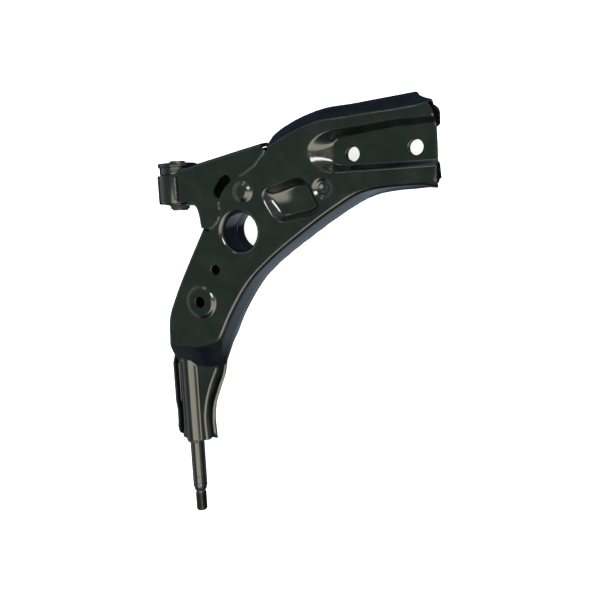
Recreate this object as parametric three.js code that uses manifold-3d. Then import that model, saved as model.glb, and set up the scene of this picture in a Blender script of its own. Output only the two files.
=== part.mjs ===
// Stamped steel lower control arm. Millimetres, +Z up, lying on its bottom plate.
// +Y runs along the pivot axis towards the front bush, +X towards the ball-joint end.
import * as THREE from 'three';
import { mergeVertices } from 'three/addons/utils/BufferGeometryUtils.js';
import Module from 'manifold-3d';
const wasm = await Module();
wasm.setup();

// ---- driving dimensions -------------------------------------------------
const SHEET = 3;            // sheet thickness of all stampings
const GAP = 0.3;            // clearance between touching pieces
const Z_TOP = 46;           // top face of the upper plate
const Z_PIVOT = 24;         // height of the pivot axis (bush and stud)
const Z_TAIL = 29.5;        // tail flats of the upper shell
const Z_TAIL_LO = 17.2;     // tail flats of the lower shell
const Z_RIM = 25;           // rim of the lower shell
const BEND = 5;             // outer bend radius of the flanges
const RIDGE_R = 11;         // outer radius of the half-tube ridges over the stud
const END_X = 270.6;        // ball-joint end of the arm
const HOLE = { x: 80.4, y: -47, lip: 23.4, r: 18.2 };
const STAB = { x: 32.6, y: -115.9, r: 5.5, dish: 17.5, depth: -2.6 };   // raised pad round the link hole
const SMALL = { x: 51.6, y: -83.6, r: 5 };
const BOLTS = [[194.6, 18.2], [252.6, 19.8]];
const BOLT_R = 6.5;
const DIMPLE = { x: 86.8, y: -9.4, r: 11.6, depth: -3.2 };     // raised round boss
const DENT = { x: 168.6, y: -10.2, r: 10.2, depth: 3.6 };
const POCKET_DEPTH = 10;
const EYE = { ro: 21, ri: 15.5, y0: -18.4, y1: 10.4 };
const SLEEVE = { ro: 15.2, ri: 14.0, y0: -19, rc: 18.3, flange: 19.7, yf0: 18.6, yf1: 22.4 };
const RUBBER = { ro: 13.7, ri: 8.3, y0: -20.2, y1: 23 };
const INNER = { ro: 8.0, ri: 6.2, y0: -24.8, y1: 25 };
const STUD = { r: 7.7, y0: -172, ys: -324, yc: -329, rth: 6, ye: -353 };
const SHIFT = [-123.341, 142.705, 0];   // puts the origin under the middle of the arm, on its lowest face

// ---- outlines -----------------------------------------------------------
// fold line of the upper plate: x, y, outward run of the flange, height of its lower edge
const UPPER = [
  [300, -11.4, 1.6, 20], [257, -11.5, 2.2, 20], [247.9, -11.4, 2.9, 20], [230.6, -11.8, 3.2, 20], [212.7, -13.5, 3.7, 20], [199, -17.2, 4.4, 20], [184.7, -25, 3.9, 20],
  [165, -36.8, 3.6, 20], [144.7, -50.4, 3.2, 20], [123.4, -65.4, 2.6, 20], [103.5, -81.3, 2.0, 20],
  [89.7, -94.4, 1.8, 20], [77.5, -109.8, 1.8, 20], [64.6, -130.0, 2.0, 20], [54.4, -149.0, 2.2, 20], [46.0, -166, 3.4, 20], [38.5, -181, 4.3, 20.5],
  [30.5, -197.2, 4.5, 21], [24.3, -210.7, 5, 21], [18.8, -227.7, 4, 21.8], [16, -246, 4, 21.8], [15.2, -290, 4, 21.8],
  [-11.6, -290, 7.2, 21.8], [-11.6, -249.8, 7.2, 21.8], [-11.2, -215, 7.2, 21.8], [-11.4, -190, 7, 21],
  [-12.2, -175, 6, 20.5], [-10.9, -158, 4, 20], [-10.2, -143.3, 3.5, 20], [-7.6, -129.6, 3.5, 20], [3.7, -105.4, 3.5, 20],
  [17.2, -81.1, 3.5, 20], [30.7, -58.1, 3.5, 20], [39.8, -42.6, 3.5, 20], [58, -10, 3.5, 20], [86, 17, 4, 20],
  [106, 26, 9, 22.4], [118.6, 31.6, 13.2, 23], [134.2, 38.2, 14.4, 23.5], [151, 44.4, 14.0, 24], [168.7, 48.4, 13.7, 24], [192.1, 49.6, 13.5, 24],
  [216.4, 51.0, 13.9, 24], [234, 51.6, 14.7, 23], [252, 52.8, 14.9, 22], [300, 54, 14.9, 22],
];
// where the upper plate is trimmed over the bracket
const SEAM = [[111.4, 44], [113.2, 37], [114.4, 31.6], [109.8, 21.9], [105.4, 18.0], [100.5, 12.6], [94.4, 9.2], [88.0, 5.6], [81.1, 3.6], [75.0, 0.9], [67.0, -6.0],
  [61.6, -14.2], [60.4, -21], [61.4, -29.0], [57.9, -37.4], [51.4, -43.2], [47.6, -45.2], [42, -45.6], [20, -45.6]];
const TRIM = [...SEAM, [20, 90], [110.8, 90]];
const POCKET = [[109.6, -11.6], [112.6, -8.6], [116.8, -7.4], [122, -6.2], [130.9, -3.2], [137.1, -1.4], [142.1, -0.4], [147.4, -0.6], [151.4, -2.4],
  [155, -6], [157, -10], [158.6, -14.4], [160.2, -18.2], [162.2, -21.6], [163.6, -25.2], [161.8, -28.6], [158, -31.6], [153.4, -33.8], [148.4, -34.6], [143.6, -35],
  [135.2, -37], [129.6, -38], [124.4, -37.4], [119.9, -34.8], [116.6, -30.6], [113.2, -25.4], [110.2, -20.6], [109, -16]];
const BRACKET = [[-2, -17.2], [10, -18.2], [25, -18.7], [30.6, -19.3], [33.3, -21.8], [34.8, -25.8], [36, -30], [37, -36.6], [39.6, -42.2], [43.8, -46], [49, -49.4],
  [53, -49], [60, -44.5], [64, -39.5], [66.5, -33], [66.5, -24], [67, -18.5], [72, -10], [76, -5.6], [82, -2.6], [90.5, 0.2], [97.5, 4],
  [104.5, 8.8], [109.8, 14], [113, 20.6], [111, 27], [108, 32.6], [98, 30.8], [80, 27.3], [57.3, 22.8], [40, 19.4], [22.2, 15.6], [11.2, 13.0], [-2, 11.4]];

// ---- small helpers ------------------------------------------------------
const clamp = (v, a = 0, b = 1) => Math.min(b, Math.max(a, v));
const lerp = (a, b, t) => a + (b - a) * t;
const smooth = (t) => { t = clamp(t); return t * t * (3 - 2 * t); };
function catmull(pts, step, closed = true) {
  const n = pts.length, out = [];
  for (let i = 0; i < (closed ? n : n - 1); i++) {
    const g = (k) => pts[closed ? (k + n) % n : clamp(k, 0, n - 1)];
    const [p0, p1, p2, p3] = [g(i - 1), g(i), g(i + 1), g(i + 2)];
    const len = Math.hypot(p2[0] - p1[0], p2[1] - p1[1]);
    const m = Math.max(1, Math.round(len / step));
    for (let k = 0; k < m; k++) {
      const t = k / m, h = [];
      for (let c = 0; c < p1.length; c++) {
        const a = (p2[c] - p0[c]) * 0.5 * Math.min(1, len / (1e-6 + 0.5 * Math.hypot(p2[0] - p0[0], p2[1] - p0[1])));
        const b = (p3[c] - p1[c]) * 0.5 * Math.min(1, len / (1e-6 + 0.5 * Math.hypot(p3[0] - p1[0], p3[1] - p1[1])));
        const t2 = t * t, t3 = t2 * t;
        h.push((2 * t3 - 3 * t2 + 1) * p1[c] + (t3 - 2 * t2 + t) * a + (-2 * t3 + 3 * t2) * p2[c] + (t3 - t2) * b);
      }
      out.push(h);
    }
  }
  if (!closed) out.push([...pts[n - 1]]);
  return out;
}
function inside(p, poly) {
  let c = false;
  for (let i = 0, j = poly.length - 1; i < poly.length; j = i++) {
    const a = poly[i], b = poly[j];
    if ((a[1] > p[1]) !== (b[1] > p[1]) && p[0] < ((b[0] - a[0]) * (p[1] - a[1])) / (b[1] - a[1]) + a[0]) c = !c;
  }
  return c;
}
function edgeDist(p, poly) {
  let d = 1e9;
  for (let i = 0, j = poly.length - 1; i < poly.length; j = i++) {
    const a = poly[j], b = poly[i], vx = b[0] - a[0], vy = b[1] - a[1];
    const t = clamp(((p[0] - a[0]) * vx + (p[1] - a[1]) * vy) / (vx * vx + vy * vy + 1e-12));
    d = Math.min(d, Math.hypot(p[0] - a[0] - t * vx, p[1] - a[1] - t * vy));
  }
  return d;
}
const area = (poly) => { let s = 0; for (let i = 0, j = poly.length - 1; i < poly.length; j = i++) s += poly[j][0] * poly[i][1] - poly[i][0] * poly[j][1]; return s / 2; };
// plain Delaunay triangulation (incremental insertion)
function delaunay(pts) {
  const n = pts.length, P = pts.map((p, i) => [p[0] + 1e-5 * Math.sin(i * 12.9898), p[1] + 1e-5 * Math.cos(i * 78.233)]);
  P.push([-1e4, -1e4], [1e4, -1e4], [0, 1.6e4]);
  const circ = (a, b, c) => {
    const [ax, ay] = P[a], [bx, by] = P[b], [cx, cy] = P[c];
    const d = 2 * (ax * (by - cy) + bx * (cy - ay) + cx * (ay - by));
    const A = ax * ax + ay * ay, B = bx * bx + by * by, C = cx * cx + cy * cy;
    const ux = (A * (by - cy) + B * (cy - ay) + C * (ay - by)) / d, uy = (A * (cx - bx) + B * (ax - cx) + C * (bx - ax)) / d;
    return { v: [a, b, c], x: ux, y: uy, r: (ax - ux) ** 2 + (ay - uy) ** 2 };
  };
  let T = [circ(n, n + 1, n + 2)];
  const order = [...Array(n).keys()].sort((i, j) => P[i][0] - P[j][0]);
  const done = [];
  for (const i of order) {
    const [px, py] = P[i], keep = [], edges = new Map();
    for (const t of T) {
      const dx = px - t.x;
      if (dx > 0 && dx * dx > t.r) { done.push(t); continue; }
      if (dx * dx + (py - t.y) ** 2 < t.r) {
        for (const [a, b] of [[t.v[0], t.v[1]], [t.v[1], t.v[2]], [t.v[2], t.v[0]]]) {
          const k = b * 1e6 + a;
          if (edges.has(k)) edges.delete(k); else edges.set(a * 1e6 + b, [a, b]);
        }
      } else keep.push(t);
    }
    for (const [a, b] of edges.values()) keep.push(circ(a, b, i));
    T = keep;
  }
  return done.concat(T).map((t) => t.v).filter((v) => v.every((k) => k < n));
}
function toGeometry(pos, tri) {
  const g = new THREE.BufferGeometry();
  g.setAttribute('position', new THREE.Float32BufferAttribute(pos.flat(), 3));
  g.setIndex(tri.flat());
  return g;
}
function solid(geo) {
  const g = geo.clone(); g.deleteAttribute('normal'); g.deleteAttribute('uv');
  const m = mergeVertices(g, 1e-4);
  return new wasm.Manifold(new wasm.Mesh({ numProp: 3, vertProperties: new Float32Array(m.attributes.position.array), triVerts: new Uint32Array(m.index.array) }));
}
function back(man) {
  const m = man.getMesh(), g = new THREE.BufferGeometry();
  g.setAttribute('position', new THREE.BufferAttribute(new Float32Array(m.vertProperties), 3));
  g.setIndex(new THREE.BufferAttribute(new Uint32Array(m.triVerts), 1));
  return g;
}
function prism(poly, z0, z1) {
  const s = new THREE.Shape((area(poly) > 0 ? poly : [...poly].reverse()).map((p) => new THREE.Vector2(p[0], p[1])));
  const g = new THREE.ExtrudeGeometry(s, { depth: z1 - z0, bevelEnabled: false });
  g.translate(0, 0, z0);
  return solid(g);
}
function circle(x, y, r, n = 28) { return [...Array(n).keys()].map((i) => [x + r * Math.cos((2 * Math.PI * i) / n), y + r * Math.sin((2 * Math.PI * i) / n)]); }
// round piece about the pivot axis (along Y): profile of [radius, y]
function turned(profile, seg = 40) {
  const p = profile.map((q) => new THREE.Vector2(q[0], q[1]));
  const g = new THREE.LatheGeometry(p, seg);
  g.translate(0, 0, 0);
  return g;
}
function rod(r, y0, y1, seg = 40, x = 0, z = Z_PIVOT) { const g = new THREE.CylinderGeometry(r, r, y1 - y0, seg); g.translate(x, (y0 + y1) / 2, z); return g; }

// Pressed sheet: flat part (a height field inside the fold line) with a turned flange round it.
// sign +1: flange goes down from the plate, -1: flange goes up. face(x,y) is the height of the
// outer face; the inner face lies SHEET behind it.
function pressing({ outline, face, sign, bend, bore, grid, step, keep = () => true }) {
  const ring = outline;
  const n = ring.length;
  const nrm = ring.map((p, i) => {
    const a = ring[(i + n - 1) % n], b = ring[(i + 1) % n];
    const dx = b[0] - a[0], dy = b[1] - a[1], l = Math.hypot(dx, dy);
    return [dy / l, -dx / l];
  });
  if (area(ring) < 0) throw new Error('outline must run counter-clockwise');
  const pos = [], tri = [];
  const add = (x, y, z) => pos.push([x, y, z]) - 1;
  const quad = (a, b, c, d) => { tri.push([a, b, c], [a, c, d]); };
  // profile of one wall: list of [out, drop] for outer and inner faces
  const wall = (run, drop) => {
    const th = Math.atan2(drop, Math.max(0.5, run));             // slope of the flange
    const turn = th;                                            // angle turned from flat
    const outer = [], inner = [];
    const c = [-bend * Math.tan(turn / 2), bend];               // bend centre (out, drop)
    for (const f of [0, 0.5, 1]) {
      const a = turn * f;
      outer.push([c[0] + bend * Math.sin(a), c[1] - bend * Math.cos(a)]);
      inner.push([c[0] + (bend - SHEET) * Math.sin(a), c[1] - (bend - SHEET) * Math.cos(a)]);
    }
    const last = outer[2], dx = Math.cos(turn), dz = Math.sin(turn), L = (drop - last[1]) / dz;
    outer.push([last[0] + dx * L, drop]);
    const li = inner[2], M = (drop - li[1]) / dz;
    inner.push([li[0] + dx * M, drop]);
    return { outer, inner };
  };
  const O = [], I = [];
  for (let i = 0; i < n; i++) {
    const [x, y, run, zb] = ring[i];
    const [nx, ny] = nrm[i];
    const z0 = face(x, y);
    const w = wall(run, Math.abs(z0 - zb));
    const at = (o, k) => [x + nx * o[0], y + ny * o[0], k];
    O.push(w.outer.map((o, k) => { const [a, b] = at(o); const zz = k === 0 ? face(a, b) : z0 - sign * o[1]; return add(a, b, zz); }));
    I.push(w.inner.map((o, k) => { const [a, b] = at(o); const zz = k === 0 ? face(a, b) - sign * SHEET : z0 - sign * o[1]; return add(a, b, zz); }));
  }
  const flip = sign > 0;
  const q = (a, b, c, d) => (flip ? quad(a, b, c, d) : quad(d, c, b, a));
  const K = 4;
  for (let i = 0; i < n; i++) {
    const j = (i + 1) % n;
    for (let k = 0; k < K - 1; k++) {
      q(O[i][k], O[i][k + 1], O[j][k + 1], O[j][k]);
      q(I[j][k], I[j][k + 1], I[i][k + 1], I[i][k]);
    }
    q(O[i][K - 1], I[i][K - 1], I[j][K - 1], O[j][K - 1]);
  }
  // flanged bore: collar turned the same way as the flange
  const loops = [];
  if (bore) {
    const m = 32, BO = [], BI = [];
    const drop = bore.drop;
    for (let i = 0; i < m; i++) {
      const a = (2 * Math.PI * i) / m, cx = Math.cos(a), cy = Math.sin(a);
      const prof = [[bore.lip, 0], [lerp(bore.lip, bore.r, 0.55), (bore.lip - bore.r) * 0.16], [lerp(bore.lip, bore.r, 0.9), (bore.lip - bore.r) * 0.55], [bore.r, bore.lip - bore.r], [bore.r, drop]];
      const inn = [[bore.lip, SHEET], [lerp(bore.lip, bore.r + SHEET, 0.7), SHEET + 0.4], [bore.r + SHEET, SHEET + 1.6], [bore.r + SHEET, SHEET + 4], [bore.r + SHEET, drop]];
      const z0 = face(bore.x + bore.lip * cx, bore.y + bore.lip * cy);
      BO.push(prof.map(([r, d]) => add(bore.x + r * cx, bore.y + r * cy, z0 - sign * d)));
      BI.push(inn.map(([r, d]) => add(bore.x + r * cx, bore.y + r * cy, z0 - sign * d)));
    }
    for (let i = 0; i < m; i++) {
      const j = (i + 1) % m;
      for (let k = 0; k < 4; k++) {
        q(BO[j][k], BO[j][k + 1], BO[i][k + 1], BO[i][k]);
        q(BI[i][k], BI[i][k + 1], BI[j][k + 1], BI[j][k]);
      }
      q(BO[j][4], BI[j][4], BI[i][4], BO[i][4]);
    }
    loops.push({ o: BO.map((r) => r[0]), i: BI.map((r) => r[0]), poly: BO.map((r) => pos[r[0]].slice(0, 2)) });
  }
  // interior
  const inRing = O.map((r) => r[0]), inRingI = I.map((r) => r[0]);
  const poly = inRing.map((k) => pos[k].slice(0, 2));
  const pts = poly.map((p) => [...p]), ids = inRing.map((k, i) => [k, inRingI[i]]);
  for (const l of loops) l.poly.forEach((p, i) => { pts.push([...p]); ids.push([l.o[i], l.i[i]]); });
  const cand = grid(face);
  const taken = pts.map((p) => [...p, step * 0.62]);
  for (const c of cand) {
    const [x, y, s] = [c[0], c[1], c[2] ?? step];
    if (!inside([x, y], poly) || edgeDist([x, y], poly) < step * 0.55) continue;
    if (loops.some((l) => inside([x, y], l.poly) || edgeDist([x, y], l.poly) < 2.2)) continue;
    if (taken.some((t) => (t[0] - x) ** 2 + (t[1] - y) ** 2 < (Math.min(t[2], s * 0.62)) ** 2)) continue;
    taken.push([x, y, s * 0.62]);
    pts.push([x, y]);
    const z = face(x, y);
    ids.push([add(x, y, z), add(x, y, z - sign * SHEET)]);
  }
  for (const t of delaunay(pts)) {
    let [a, b, c] = t;
    const m = [(pts[a][0] + pts[b][0] + pts[c][0]) / 3, (pts[a][1] + pts[b][1] + pts[c][1]) / 3];
    if (!inside(m, poly) || loops.some((l) => inside(m, l.poly))) continue;
    const s = (pts[b][0] - pts[a][0]) * (pts[c][1] - pts[a][1]) - (pts[b][1] - pts[a][1]) * (pts[c][0] - pts[a][0]);
    if (s < 0) [b, c] = [c, b];
    if (!flip) [b, c] = [c, b];
    tri.push([ids[a][0], ids[b][0], ids[c][0]], [ids[a][1], ids[c][1], ids[b][1]]);
  }
  return toGeometry(pos, tri);
}

// ---- heights of the two plates -----------------------------------------
const FLOOR = (x) => lerp(33, 45.2, clamp((x - 160) / 110));       // ball-joint seat
const RISE = (x) => 4 * Math.pow(clamp((x - 190) / 80), 1.4);
function recessDist(x, y) {        // >0 inside the ball-joint recess
  const x0 = 156, x1 = 400, y0 = 2.2, y1 = lerp(39.5, 44.2, clamp((x - 175) / 60)), r = 14;
  const qx = Math.abs(x - (x0 + x1) / 2) - (x1 - x0) / 2 + r, qy = Math.abs(y - (y0 + y1) / 2) - (y1 - y0) / 2 + r;
  return -(Math.hypot(Math.max(qx, 0), Math.max(qy, 0)) + Math.min(Math.max(qx, qy), 0) - r);
}
function tailMix(x, y) {           // 0 on the main plate, 1 on the tail
  const yt = lerp(-160, -148, clamp((x - 24) / 28)), yb = -190;
  return clamp((yt - y) / (yt - yb));
}
const softRamp = (t) => { const r = 0.16; if (t < r) return (t * t) / (2 * r) / (1 - r); if (t > 1 - r) return 1 - ((1 - t) ** 2) / (2 * r) / (1 - r); return (t - r / 2) / (1 - r); };
function upperFace(x, y) {
  let z = Z_TOP + RISE(x);
  const t = softRamp(tailMix(x, y));
  z = lerp(z, Z_TAIL, t);
  if (y < -150 && Math.abs(x) < RIDGE_R) z = Math.max(z, Z_PIVOT + Math.sqrt(RIDGE_R * RIDGE_R - x * x));
  const d = recessDist(x, y);
  if (d > 0) z = lerp(z, Math.min(z, FLOOR(x)), softRamp(clamp(d / lerp(22, 6.5, smooth((x - 160) / 26)))));
  if (inside([x, y], POCKET)) z -= POCKET_DEPTH * smooth(edgeDist([x, y], POCKET) / 7.5);
  let r = Math.hypot(x - DIMPLE.x, y - DIMPLE.y);
  if (r < DIMPLE.r) z -= DIMPLE.depth * smooth((1 - r / DIMPLE.r) * 1.6);
  r = Math.hypot(x - DENT.x, y - DENT.y);
  if (r < DENT.r) z -= DENT.depth * smooth(1 - r / DENT.r);
  r = Math.hypot(x - STAB.x, y - STAB.y);
  if (r < STAB.dish) z -= STAB.depth * smooth((STAB.dish - r) / 5);
  return z;
}
function lowerFace(x, y) {
  let z = 10 * Math.pow(clamp((x - 175) / 95), 1.3);
  z = lerp(z, Z_TAIL_LO, softRamp(tailMix(x, y)));
  if (y < -150 && Math.abs(x) < RIDGE_R) z = Math.min(z, Z_PIVOT - Math.sqrt(RIDGE_R * RIDGE_R - x * x));
  const d = recessDist(x, y) - 3;
  if (d > 0) z = lerp(z, FLOOR(x) - 2 * SHEET - GAP, smooth(d / 9) * smooth((x - 172) / 26));
  return z;
}
// sample points for the interiors, denser along formed features
function samples(lower) {
  return () => {
    const c = [];
    const ringPts = (x, y, r, n, s) => { for (let i = 0; i < n; i++) c.push([x + r * Math.cos((2 * Math.PI * (i + 0.5)) / n), y + r * Math.sin((2 * Math.PI * (i + 0.5)) / n), s]); };
    const inset = (poly, d, s, m) => { const q = catmull(poly, m), n = q.length; for (let i = 0; i < n; i++) { const a = q[(i + n - 1) % n], b = q[(i + 1) % n], l = Math.hypot(b[0] - a[0], b[1] - a[1]); c.push([q[i][0] + (d * (b[1] - a[1])) / l, q[i][1] - (d * (b[0] - a[0])) / l, s]); } };
    if (!lower) {
      for (const d of [0.2, 3.8, 7.6]) inset(POCKET, d, 4, 6);
      for (const [f, n] of [[1, 16], [0.62, 12], [0.3, 7], [0, 1]]) ringPts(DIMPLE.x, DIMPLE.y, DIMPLE.r * f, n, 3.4);
      for (const [f, n] of [[1, 14], [0.55, 9], [0, 1]]) ringPts(DENT.x, DENT.y, DENT.r * f, n, 3.4);
      for (const [r, n] of [[STAB.dish, 20], [STAB.dish - 5, 16], [STAB.r + 2, 12]]) ringPts(STAB.x, STAB.y, r, n, 3.4);
    }
    // recess wall and seat edges
    const w = lower ? [3, 7.5, 12] : [0.1, 3.3, 6.6, 12, 17];
    for (const d of w) {
      for (let x = 176; x < 300; x += 9) { const y1 = lerp(39.5, 44.2, clamp((x - 175) / 60)); c.push([x, y1 - d, 4], [x, 2.2 + d, 4]); }
      for (let i = 0; i <= 8; i++) { const a = Math.PI / 2 + (Math.PI * i) / 8, u = Math.cos(a), v = Math.sin(a); c.push([171 + (14.9 - d) * Math.sign(u) * Math.pow(Math.abs(u), 0.7), 20.9 + (18.7 - d) * Math.sign(v) * Math.pow(Math.abs(v), 0.7), 4]); }
    }
    // tail ridge
    for (let y = -290; y < -158; y += 7.2) for (const x of [-10.9, -8.8, -4.8, 0, 4.8, 8.8, 10.9]) c.push([x, y, 2.6]);
    for (let x = -30; x < 60; x += 8) for (const t of [0, 0.14, 0.5, 0.86, 1]) { const yt = lerp(-160, -148, clamp((x - 24) / 28)); c.push([x, lerp(yt, -190, t), 5]); }
    for (let j = 0, y = -300; y < 80; y += 13, j++) for (let x = -40 + (j % 2) * 6; x < 310; x += 14) if (y > -158 || Math.abs(x) > 15) c.push([x, y, 12]);
    return c;
  };
}

// ---- shells -------------------------------------------------------------
const upperOutline = catmull(UPPER.slice().reverse(), 11);
const holesCut = (m, zlo, zhi) => {
  for (const [x, y] of BOLTS) m = m.subtract(prism(circle(x, y, BOLT_R), zlo, zhi));
  m = m.subtract(prism(circle(STAB.x, STAB.y, STAB.r, 24), zlo, zhi));
  m = m.subtract(prism(circle(SMALL.x, SMALL.y, SMALL.r, 24), zlo, zhi));
  return m;
};
const ENDCUT = [[END_X - 2.6, 80], [END_X - 2.6, 48], [END_X - 0.8, 40], [END_X, 25], [END_X + 0.5, 8], [END_X + 0.6, -7.6], [END_X - 0.8, -10], [END_X - 3.6, -12.2], [END_X - 4.6, -40], [340, -40], [340, 80]];
const endTop = [[246.6, 90], [246.6, 70], [249.6, 68], [253.6, 65.2], [259.1, 59.8], [264.4, 53.6], [266.6, 49.9], [268.4, 46], [340, 46], [340, 90]];
const endTopLow = [[250.4, 90], [250.4, 64.2], [253, 61.8], [257.4, 58.0], [262.6, 55.0], [265.6, 52.0], [266.6, 46], [340, 46], [340, 90]];
const ENDLOW = [[266.4, 80], [266, 50], [265, 20], [265.4, 2], [267.2, -4], [267.4, -8.4], [265.2, -9.6], [262, -13], [262, -30], [340, -30], [340, 80]];
const tailEnd = [[-40, -258], [-22, -262], [-14, -266.5], [-8.6, -269.6], [13, -269.6], [17.5, -266.6], [22, -262], [40, -258], [60, -258], [60, -330], [-60, -330], [-60, -258]];
let upper = solid(pressing({ outline: upperOutline, face: upperFace, sign: 1, bend: BEND, bore: { ...HOLE, drop: Z_TOP - 19 }, grid: samples(false), step: 9 }));
upper = upper.subtract(prism(TRIM, -5, 80)).subtract(prism(ENDCUT, -5, 80)).subtract(prism(endTop, -5, 80)).subtract(prism(tailEnd, -5, 80));
upper = holesCut(upper, 20, 70).subtract(solid(rod(STUD.r + GAP, -400, -165, 56)));

// lower shell: along the arm its rim stops just under the edge of the upper flange and stands back
// from it, leaving a step for the fillet weld; round the tail it steps out and laps over the flange
function lowerRim(p, ny) {
  const right = smooth((p[0] - 4) / 8), lap = smooth((lerp(-161, -176, right) - p[1]) / 15), rise = smooth((lerp(-177, -192, right) - p[1]) / 12);
  const front = smooth((ny - 0.75) / 0.15) * smooth((p[0] - 110) / 20);
  const lean = lerp(lerp(lerp(2.6, 4.2, right * smooth((-95 - p[1]) / 45)), 7.6, front), 2.2, lap);
  const narrow = 1.5 * smooth((-228 - p[1]) / 14) * (1 - right);
  return { out: lerp(p[2] - 2.4, p[2] + lerp(6.0, 4.6, right) - narrow, lap), lean, z: lerp(p[3] - 0.45, 24.4, rise) };
}
const lowerOutline = upperOutline.map((p, i, A) => {
  const n = A.length, a = A[(i + n - 1) % n], b = A[(i + 1) % n], l = Math.hypot(b[0] - a[0], b[1] - a[1]);
  const nx = (b[1] - a[1]) / l, ny = -(b[0] - a[0]) / l, r = lowerRim(p, ny), o = r.out - r.lean;
  return [p[0] + nx * o, p[1] + ny * o, r.lean, r.z];
});
let lower = solid(pressing({ outline: lowerOutline, face: lowerFace, sign: -1, bend: BEND, bore: { ...HOLE, drop: 17.4 }, grid: samples(true), step: 9 }));
lower = lower.subtract(prism([[20, 90], [20, -22], [52, -22], [58, -10], [70, 4], [92, 12], [104, 22], [110, 36], [112, 90]], -5, 80));
lower = lower.subtract(prism(ENDLOW, -5, 80)).subtract(prism(endTopLow, -5, 80)).subtract(prism(tailEnd.map(([x, y]) => [x, y - 0.6]), -5, 80));
lower = holesCut(lower, -5, 60).subtract(solid(rod(STUD.r + GAP, -400, -165, 56)));

// ---- front bracket ------------------------------------------------------
const BRACKET_TOP = Z_TOP - SHEET - GAP;
const BRACKET_LOW = 26;                    // lower edge of its side flanges
const bracketLine = [[-6, -16.4], [10, -17.3], [24, -18.9], [28.4, -20.4], [30.9, -23.2], [32.3, -27.2], [33.3, -31], [33.9, -37.2], [35.2, -43.0], [39.6, -50.4],
  [50, -62], [62, -72], [130, -72], [134, 0], [130, 38.4], [108, 33.9], [80, 28.5], [57.3, 24.0], [40, 20.6], [22.2, 16.8], [11.2, 13.6], [-6, 9.6]].map((p) => [...p, 2, BRACKET_LOW]);
const bracketKeep = [[-40, 60], [-40, -38], [26, -44.6], [41.2, -44.6], [48.6, -43.9], [53.6, -41.2], [55.2, -37.4], [58.2, -33], [61.6, -29], [63.6, -24], [64.6, -18.5],
  [68.4, -11.4], [72.8, -3.8], [76, 0.9], [81.2, 3.9], [88, 4.9], [95.5, 7.2], [102, 9.4], [107, 14], [110.2, 19.4], [110.9, 24.5], [109.4, 29], [106.6, 34], [105, 60]];
const OVAL = { x: 62.8, y: -3.6, len: 25, wid: 13, ang: 51 };
function bracketGrid() {
  const c = [];
  for (let y = -44; y < 36; y += 9) for (let x = 0; x < 128; x += 12) c.push([x + ((y + 44) / 9 % 2) * 6, y, 9]);
  return c;
}
let bracket = solid(pressing({ outline: catmull(bracketLine, 9), face: () => BRACKET_TOP, sign: 1, bend: 4.2, grid: bracketGrid, step: 9 }));
bracket = bracket.intersect(prism(bracketKeep, 0, 80));
const oa = (OVAL.ang * Math.PI) / 180, ovalPts = [];
for (let k = 0; k < 24; k++) {
  const a = (2 * Math.PI * k) / 24, h = (OVAL.len - OVAL.wid) / 2;
  const u = (OVAL.wid / 2) * Math.cos(a) + (Math.cos(a) > 0.01 ? h : Math.cos(a) < -0.01 ? -h : 0), v = (OVAL.wid / 2) * Math.sin(a);
  ovalPts.push([OVAL.x + u * Math.cos(oa) - v * Math.sin(oa), OVAL.y + u * Math.sin(oa) + v * Math.cos(oa)]);
}
bracket = bracket.subtract(prism(ovalPts, 30, 60)).subtract(solid(rod(EYE.ro + GAP, -60, 60, 72)));

// plate closing the box under the bracket, just below the edges of its side flanges
const closing = prism([[22.5, -17.6], [28.4, -19.3], [32.6, -26], [34.2, -32], [35.4, -38], [43.4, -41.6], [49.6, -41.6], [55.6, -37], [58.6, -29], [58, -20.6], [59.4, -13.6],
  [65.2, -4.8], [73.8, 2.8], [80.6, 5.6], [87.4, 7.6], [93.4, 11], [99, 14.6], [103.8, 19.8], [107.6, 24], [109.6, 29.6], [105, 31.6], [80, 26.8], [57.3, 22.4], [40, 19], [22.5, 15.4]],
  BRACKET_LOW - GAP - SHEET, BRACKET_LOW - GAP).subtract(solid(rod(EYE.ro + GAP, -60, 60, 72)));

// ---- bush, eye and stud: round about the pivot axis ----------------------
function lathe(profile, seg) {
  const g = new THREE.LatheGeometry(profile.map((q) => new THREE.Vector2(q[0], q[1])), seg);
  g.translate(0, 0, Z_PIVOT);
  return solid(g);
}
const ring = (ro, ri, y0, y1, seg) => lathe([[ri, y0], [ro, y0], [ro, y1], [ri, y1], [ri, y0]], seg);
const eye = ring(EYE.ro, EYE.ri, EYE.y0, EYE.y1, 48);
const S = SLEEVE;
const sleeve = lathe([[S.ri, S.y0], [S.ro, S.y0], [S.ro, EYE.y1 + GAP], [S.rc, EYE.y1 + GAP], [S.rc, S.yf0], [S.flange, S.yf0 + 0.6], [S.flange, S.yf1 - 0.6], [S.flange - 0.7, S.yf1], [S.ri, S.yf1], [S.ri, S.y0]], 48);
const R = RUBBER;
const rubber = lathe([[R.ri, R.y0 - 3.2], [R.ri + 1.1, R.y0 - 3.2], [R.ri + 1.3, R.y0 - 0.4], [R.ro - 2.4, R.y0], [R.ro, R.y0 + 1.6], [R.ro, R.y1 - 1.4], [R.ro - 2.2, R.y1], [R.ri, R.y1], [R.ri, R.y0 - 3.2]], 40);
const inner = lathe([[INNER.ri, INNER.y0], [INNER.ro - 0.6, INNER.y0], [INNER.ro, INNER.y0 + 0.6], [INNER.ro, INNER.y1 - 0.6], [INNER.ro - 0.6, INNER.y1], [INNER.ri, INNER.y1], [INNER.ri, INNER.y0]], 40);
const T = STUD;
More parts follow.
